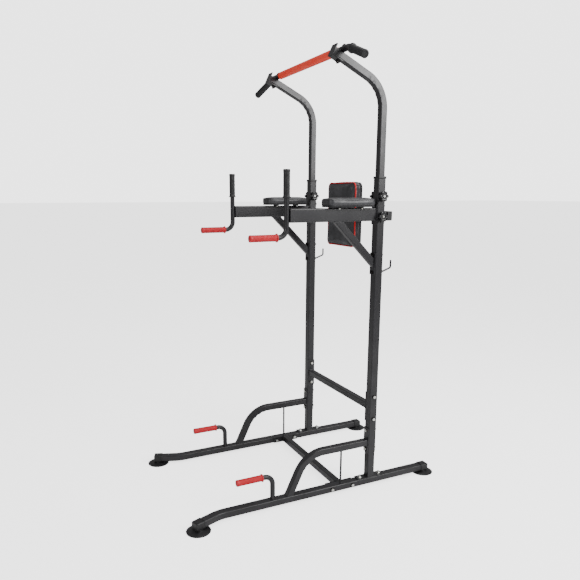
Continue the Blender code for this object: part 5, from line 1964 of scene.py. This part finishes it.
@dataclass
class PullUpFrame:
    """Two bent posts with pin holes, the round bar on top, its sleeve, saddles and end grips."""

    shop: Workshop
    layout: Layout
    bolts: Bolts
    size: float = 0.030
    corner: float = 0.0038
    wall: float = 0.0015
    corner_level: float = 1.770
    reach: float = 0.240
    bend: float = 64.5
    radius: float = 0.138
    pin_level: float = 1.333
    pin_pitch: float = 0.040
    pin_steps: int = 6
    pin_bore: float = 0.0088
    pin_depth: float = 0.012
    tube: float = 0.025
    tube_back: float = 0.035
    tube_bend: float = 0.050
    turn: float = 0.045
    outer_length: float = 0.160
    drop: float = 21.0
    forward: float = 8.5
    grip_length: float = 0.128
    grip_diameter: float = 0.031
    saddle_width: float = 0.040
    saddle_plate: float = 0.005
    saddle_leg: float = 0.048
    gap: float = 0.0003

    @property
    def along(self) -> Vector:
        """Direction of the sloping arms, forwards and up."""
        slope = math.radians(90 - self.bend)
        return Vector((0, -math.cos(slope), math.sin(slope)))

    @property
    def square(self) -> Vector:
        """Direction square to the sloping arms, towards their upper face."""
        slope = math.radians(90 - self.bend)
        return Vector((0, math.sin(slope), math.cos(slope)))

    @property
    def end(self) -> Vector:
        """Centre of the right-hand arm's front end."""
        knee = Vector((self.layout.x, self.layout.y, self.corner_level))
        return knee + self.along * self.reach / abs(self.along.y)

    @property
    def axis(self) -> Vector:
        """Where the round bar crosses over the right-hand arm."""
        lift = self.size / 2 + self.gap + self.tube / 2
        return self.end - self.along * self.tube_back + self.square * lift

    @property
    def outward(self) -> Vector:
        """Direction of the bar's right-hand outer end.

        Returns:
            The unit vector.
        """
        drop, forward = math.radians(self.drop), math.radians(self.forward)
        return Vector((math.cos(drop) * math.cos(forward), -math.cos(drop) * math.sin(forward),
                       -math.sin(drop)))

    def build(self) -> None:
        """Build the whole frame."""
        for side in Side:
            self.post(side)
            self.glide(side)
            self.saddle(side)
            self.end_grip(side)
        self.bar()
        self.sleeve()

    def post(self, side: Side) -> None:
        """One bent post, buckled inside its bend, with a row of holes in its inner face.

        Args:
            side: Which side it is on.
        """
        low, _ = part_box("bent_post_right")
        x, y = self.layout.x, self.layout.y
        bm = bmesh.new()
        stock = TubeStock(self.size, self.size, self.corner, 5, cuts=3)
        knee = Vector((x, y, self.corner_level))
        bend_tube(bm, stock, (Vector((x, y, low.z)), knee, self.end), self.radius, 36,
                  crush=Crush(0.0012, 5, (0.78, 0.96)))
        for step in range(self.pin_steps + 1):
            self.punch(bm, Vector((x - self.size / 2, y, self.pin_level - step * self.pin_pitch)))
        self.shop.fit("post_tube", bm, self.shop.finishes.coat, side, "bent_post", body=Body.UPPER.value)

    def punch(self, bm: bmesh.types.BMesh, spot: Vector) -> None:
        """Make one pin hole in the post's inner face.

        Args:
            bm: The post's mesh.
            spot: Centre of the hole.
        """
        margin = self.pin_bore
        for way in (-1, 1):
            straight = [face for face in bm.faces
                        if face.calc_center_median().z < self.pin_level + self.pin_pitch * 4]
            geom = list({item for face in straight for item in (*face.verts, *face.edges)}) + straight
            bmesh.ops.bisect_plane(bm, geom=geom, plane_co=(0, 0, spot.z + way * margin), plane_no=(0, 0, 1))
        bm.normal_update()
        cell = [face for face in bm.faces if face.normal.x < -0.99
                and abs(face.calc_center_median().z - spot.z) < margin]
        rim = [edge for face in cell for edge in face.edges if sum(f in cell for f in edge.link_faces) == 1]
        bmesh.ops.delete(bm, geom=cell, context="FACES")
        ring = bmesh.ops.create_circle(bm, segments=24, radius=self.pin_bore / 2,
                                       matrix=stand_on(spot, -X_AXIS, Z_AXIS))
        mouth = list({edge for vert in ring["verts"] for edge in vert.link_edges})
        bmesh.ops.bridge_loops(bm, edges=rim + mouth)
        bore = bmesh.ops.extrude_edge_only(bm, edges=mouth)["geom"]
        bmesh.ops.translate(bm, verts=[v for v in bore if isinstance(v, bmesh.types.BMVert)],
                            vec=X_AXIS * self.pin_depth)
        bmesh.ops.holes_fill(bm, edges=[e for e in bore if isinstance(e, bmesh.types.BMEdge)], sides=0)

    def glide(self, side: Side) -> None:
        """Plastic foot of the post, running in the upright's bore.

        Args:
            side: Which side it is on.
        """
        low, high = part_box("post_glide_right")
        post_low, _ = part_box("bent_post_right")
        x, y = self.layout.x, self.layout.y
        size = high.x - low.x
        bm = bmesh.new()
        bend_tube(bm, TubeStock(size, size, self.corner * 0.7, 4),
                  (Vector((x, y, low.z)), Vector((x, y, post_low.z - self.gap))))
        plug = self.size - 2 * (self.wall + self.gap)
        bend_tube(bm, TubeStock(plug, plug, self.corner * 0.5, 4),
                  (Vector((x, y, post_low.z - 0.002)), Vector((x, y, high.z))))
        self.shop.fit("glide", bm, self.shop.finishes.plastic, side, "post_glide", body=Body.UPPER.value)

    def saddle(self, side: Side) -> None:
        """Angle bracket on the arm's end, and the bolt through bar, arm and bracket.

        Args:
            side: Which side it is on.
        """
        start = self.end + self.along * self.gap
        half = self.size / 2 + self.gap
        face = start + self.along * self.saddle_plate / 2
        bm = bmesh.new()
        bend_tube(bm, TubeStock(self.saddle_width, self.saddle_plate, 0.0012, 3),
                  (face - self.square * (half + self.saddle_plate),
                   face + self.square * (half + self.tube * 0.45)))
        under = start - self.square * (half + self.saddle_plate / 2)
        bend_tube(bm, TubeStock(self.saddle_width - 0.002, self.saddle_plate, 0.0012, 3),
                  (under - self.along * self.saddle_leg, under + self.along * self.saddle_plate * 0.7))
        finishes = self.shop.finishes
        self.shop.fit("saddle", bm, finishes.coat, side, "bar_saddle", body=Body.UPPER.value)
        below = self.end - self.along * self.tube_back - self.square * (half + self.saddle_plate)
        above = self.axis + self.square * (self.tube / 2 - 0.0012)
        self.bolts.set_in("saddle", [(below, -self.square, "nut"), (above, self.square, "nut")], side,
                          body=Body.UPPER.value, black=True)

    def bar(self) -> None:
        """The round bar, turned down at both ends."""
        bm = bmesh.new()
        turn = Vector((self.layout.x + self.turn, self.axis.y, self.axis.z))
        tip = turn + self.outward * (self.outer_length - 0.006)
        mirrored = [Vector((-spot.x, spot.y, spot.z)) for spot in (tip, turn)]
        bend_tube(bm, TubeStock.round(self.tube, 40), (*mirrored, turn, tip), self.tube_bend, 12,
                  side_axis=Y_AXIS)
        self.shop.fit("pull_up_bar_tube", bm, self.shop.finishes.coat, stands_for="pull_up_bar",
                      body=Body.UPPER.value)

    def sleeve(self) -> None:
        """Foam sleeve on the middle of the bar, with trimmed, rounded ends."""
        low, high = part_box("centre_grip")
        length = high.x - low.x
        outer = (high.z - low.z) / 2
        inner = self.tube / 2 + self.gap
        lip = 0.0024
        profile = [(inner, 0.0), (outer - lip, 0.0), (outer - lip * 0.3, lip * 0.3), (outer, lip),
                   (outer, length - lip), (outer - lip * 0.3, length - lip * 0.3), (outer - lip, length),
                   (inner, length), (inner, 0.0)]
        bm = bmesh.new()
        lathe(bm, profile, Vector((low.x, self.axis.y, self.axis.z)), X_AXIS, 64)
        self.shop.fit("centre_sleeve", bm, self.shop.finishes.foam, stands_for="centre_grip",
                      body=Body.UPPER.value)

    def end_grip(self, side: Side) -> None:
        """Ribbed grip on one outer end of the bar.

        Args:
            side: Which side it is on.
        """
        turn = Vector((self.layout.x + self.turn, self.axis.y, self.axis.z))
        start = turn + self.outward * (self.outer_length - self.grip_length)
        Grip(self.shop).build("end_grip_rubber", start, self.outward, self.grip_length, self.grip_diameter,
                              self.shop.finishes.black, side, "end_grip", body=Body.UPPER.value)


# ---------------------------------------------------------------- knobs
@dataclass
class StarKnob:
    """Six-lobed knob with a neck, a steel stud and a bright screw in its recess."""

    shop: Workshop
    layout: Layout
    diameter: float = 0.045
    thickness: float = 0.014
    lobes: int = 6
    lobe_depth: float = 0.0062
    neck: float = 0.020
    neck_length: float = 0.004
    recess: float = 0.015
    stud: float = 0.008
    facets: int = 96

    def outline(self, centre: Vector, way: Vector, scale: float, depth: float) -> list[Vector]:
        """Points round the lobed edge.

        Args:
            centre: Middle of the outline.
            way: Direction square to it.
            scale: Share of the knob's radius.
            depth: How deep the hollows between the lobes are.

        Returns:
            The outline's points.
        """
        place = stand_on(centre, way, Y_AXIS)
        points = []
        for i in range(self.facets):
            angle = math.tau * i / self.facets
            hollow = (0.5 - 0.5 * math.cos(self.lobes * angle)) ** 1.6
            radius = self.diameter / 2 * scale - depth * hollow
            points.append(place @ Vector((radius * math.cos(angle), radius * math.sin(angle), 0.0)))
        return points

    def build(self, node: str, body: str, outward: int, side: Side) -> None:
        """Build a knob.

        Args:
            node: Name of the CAD node without its side.
            body: Name of the body it turns or slides as.
            outward: 1 when it sticks out of the machine, -1 when it points inwards.
            side: Which side it is on.
        """
        low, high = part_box(f"{node}_right")
        way = X_AXIS * outward
        end_x, tip_x = (high.x, low.x) if outward > 0 else (low.x, high.x)
        middle = Vector((0, self.layout.y, (low.z + high.z) / 2))
        top = middle + X_AXIS * end_x
        start = top - way * self.thickness
        rings = []
        rise = self.thickness
        for along, scale in ((0.0, 0.90), (0.0008, 0.95), (0.0022, 0.985), (0.0045, 1.0),
                             (rise - 0.0045, 1.0), (rise - 0.0022, 0.975), (rise - 0.0008, 0.93),
                             (rise, 0.86), (rise, 0.70), (rise - 0.0006, 0.62)):
            depth = self.lobe_depth if scale > 0.8 else self.lobe_depth * 0.35
            rings.append(self.outline(start + way * along, way, scale, depth))
        recess = self.recess / 2
        for along, radius in ((rise - 0.0006, recess + 0.0016), (rise - 0.0002, recess + 0.0006),
                              (rise - 0.0008, recess), (rise - 0.0055, recess - 0.0003)):
            rings.append(self.outline(start + way * along, way, radius / (self.diameter / 2), 0.0))
        bm = bmesh.new()
        skin(bm, rings)
        neck = self.neck / 2
        lathe(bm, [(0, 0), (neck - 0.0008, 0), (neck, 0.0008), (neck, self.neck_length),
                   (neck + 0.002, 0.0056), (0, 0.0056)], start - way * self.neck_length, way, 40)
        finishes = self.shop.finishes
        self.shop.fit(f"{node}_star", bm, finishes.knob, side, node, body=body)
        steel = bmesh.new()
        shank = abs(start.x - tip_x)
        half = self.stud / 2
        lathe(steel, [(0, 0), (half - 0.001, 0), (half, 0.001), (half, shank), (0, shank)],
              middle + X_AXIS * tip_x, way, 28)
        bmesh.ops.create_cone(steel, cap_ends=True, segments=6, radius1=0.0058, radius2=0.0054, depth=0.004,
                              matrix=stand_on(top - way * 0.0045, way, Y_AXIS))
        bmesh.ops.create_cone(steel, cap_ends=True, segments=24, radius1=0.0034, radius2=0.0030, depth=0.0045,
                              matrix=stand_on(top - way * 0.0036, way, Y_AXIS))
        self.shop.fit(f"{node}_screw", steel, finishes.zinc, side, slot="knob_plastic", body=body)


# ---------------------------------------------------------------- studio
@dataclass
class Studio:
    """Pale floor, white surroundings, soft lights and the camera."""

    floor_size: float = 200.0
    surroundings: float = 0.34
    backdrop: float = 3.2
    lens: float = 35.62
    sensor: float = 36.0
    shift: tuple[float, float] = (0.0271, 0.0483)
    eye: tuple[float, float, float] = (2.374, -1.186, 1.341)
    tilt: float = 77.845
    heading: float = 65.12

    def build(self) -> None:
        """Lay the floor, hang the lights and set the camera."""
        self.floor()
        self.surround()
        self.lamp("side_softbox", Vector((3.0, 1.9, 2.5)), Vector((0.3, 0.3, 1.5)), 1.7, 120.0)
        self.lamp("top_softbox", Vector((0.6, 0.9, 3.8)), Vector((0, 0.1, 0.5)), 2.4, 70.0)
        self.lamp("front_softbox", Vector((1.8, -3.2, 2.4)), Vector((0, 0, 0.9)), 2.0, 40.0)
        self.camera()

    def floor(self) -> None:
        """Plain pale floor under the cups."""
        bm = bmesh.new()
        bmesh.ops.create_grid(bm, x_segments=1, y_segments=1, size=self.floor_size / 2)
        bmesh.ops.translate(bm, verts=bm.verts, vec=(0, 0, -0.0005))
        obj = new_object("studio_floor", bm)
        table = LightTable("pale_light_table", "black_coat", "#F4F4F4", 0.75, specular=0.2)
        obj.data.materials.append(table.material())

    def surround(self) -> None:
        """Even white surroundings."""
        world = bpy.data.worlds.new("white_surroundings")
        world.use_nodes = True
        tree = world.node_tree
        seen = add_node(tree, "ShaderNodeLightPath").outputs["Is Camera Ray"]
        sky = tree.nodes["Background"]
        sky.inputs["Color"].default_value = linear("#FFFFFF")
        add_node(tree, "ShaderNodeMapRange", {}, {
            "Value": seen, "To Min": self.surroundings, "To Max": self.backdrop},
            {"Result": sky.inputs["Strength"]})
        bpy.context.scene.world = world

    def lamp(self, name: str, place: Vector, target: Vector, size: float, power: float) -> None:
        """Hang one square soft light.

        Args:
            name: What the light is called.
            place: Where it hangs.
            target: What it points at.
            size: Length of its edge.
            power: Its power in watts.
        """
        data = bpy.data.lights.new(name, "AREA")
        data.energy = power
        data.size = size
        lamp = bpy.data.objects.new(name, data)
        lamp.location = place
        lamp.rotation_euler = (target - place).to_track_quat("-Z", "Y").to_euler()
        bpy.context.scene.collection.objects.link(lamp)

    def camera(self) -> None:
        """Camera in front, to the user's right, a little above the arms."""
        data = bpy.data.cameras.new("front_right_camera")
        data.lens = self.lens
        data.sensor_width = self.sensor
        data.shift_x, data.shift_y = self.shift
        camera = bpy.data.objects.new("front_right_camera", data)
        camera.location = self.eye
        camera.rotation_euler = (math.radians(self.tilt), 0.0, math.radians(self.heading))
        bpy.context.scene.collection.objects.link(camera)
        bpy.context.scene.camera = camera


def main() -> None:
    """Build every piece, then the studio, and log how many pieces there are."""
    logging.basicConfig(level=logging.INFO, format="%(name)s: %(message)s", stream=sys.stdout)
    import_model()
    shop = Workshop(Finishes())
    layout = Layout.read()
    bolts = Bolts(shop)
    rails = Rails(shop, layout)
    braces = FloorBrace(shop, layout, bolts)
    handles = PushUpHandle(shop, layout)
    uprights = Upright(shop, layout, bolts)
    arms = DipArm(shop, layout, bolts)
    pads = ArmPad(shop, layout=layout)
    knob = StarKnob(shop, layout)
    for side in Side:
        rails.build(side)
        braces.build(side)
        handles.build(side)
        uprights.build(side)
        arms.build(side)
        pads.build(side)
        knob.build("upper_clamp_knob", f"upper_clamp_{side.label}", 1, side)
        knob.build("lower_clamp_knob", f"lower_clamp_{side.label}", 1, side)
        knob.build("height_pin", f"height_pin_body_{side.label}", -1, side)
    Crossbar(shop, bolts, "base_cross_tube").build(Y_AXIS, layout.x + Rails.width / 2)
    Crossbar(shop, bolts, "lower_crossbar").build(Z_AXIS, layout.outer_face)
    Backrest(shop, layout=layout, bolts=bolts).build()
    PullUpFrame(shop, layout, bolts).build()
    Studio().build()
    LOG.info("%d pieces", shop.pieces)


if __name__ == "__main__":
    main()
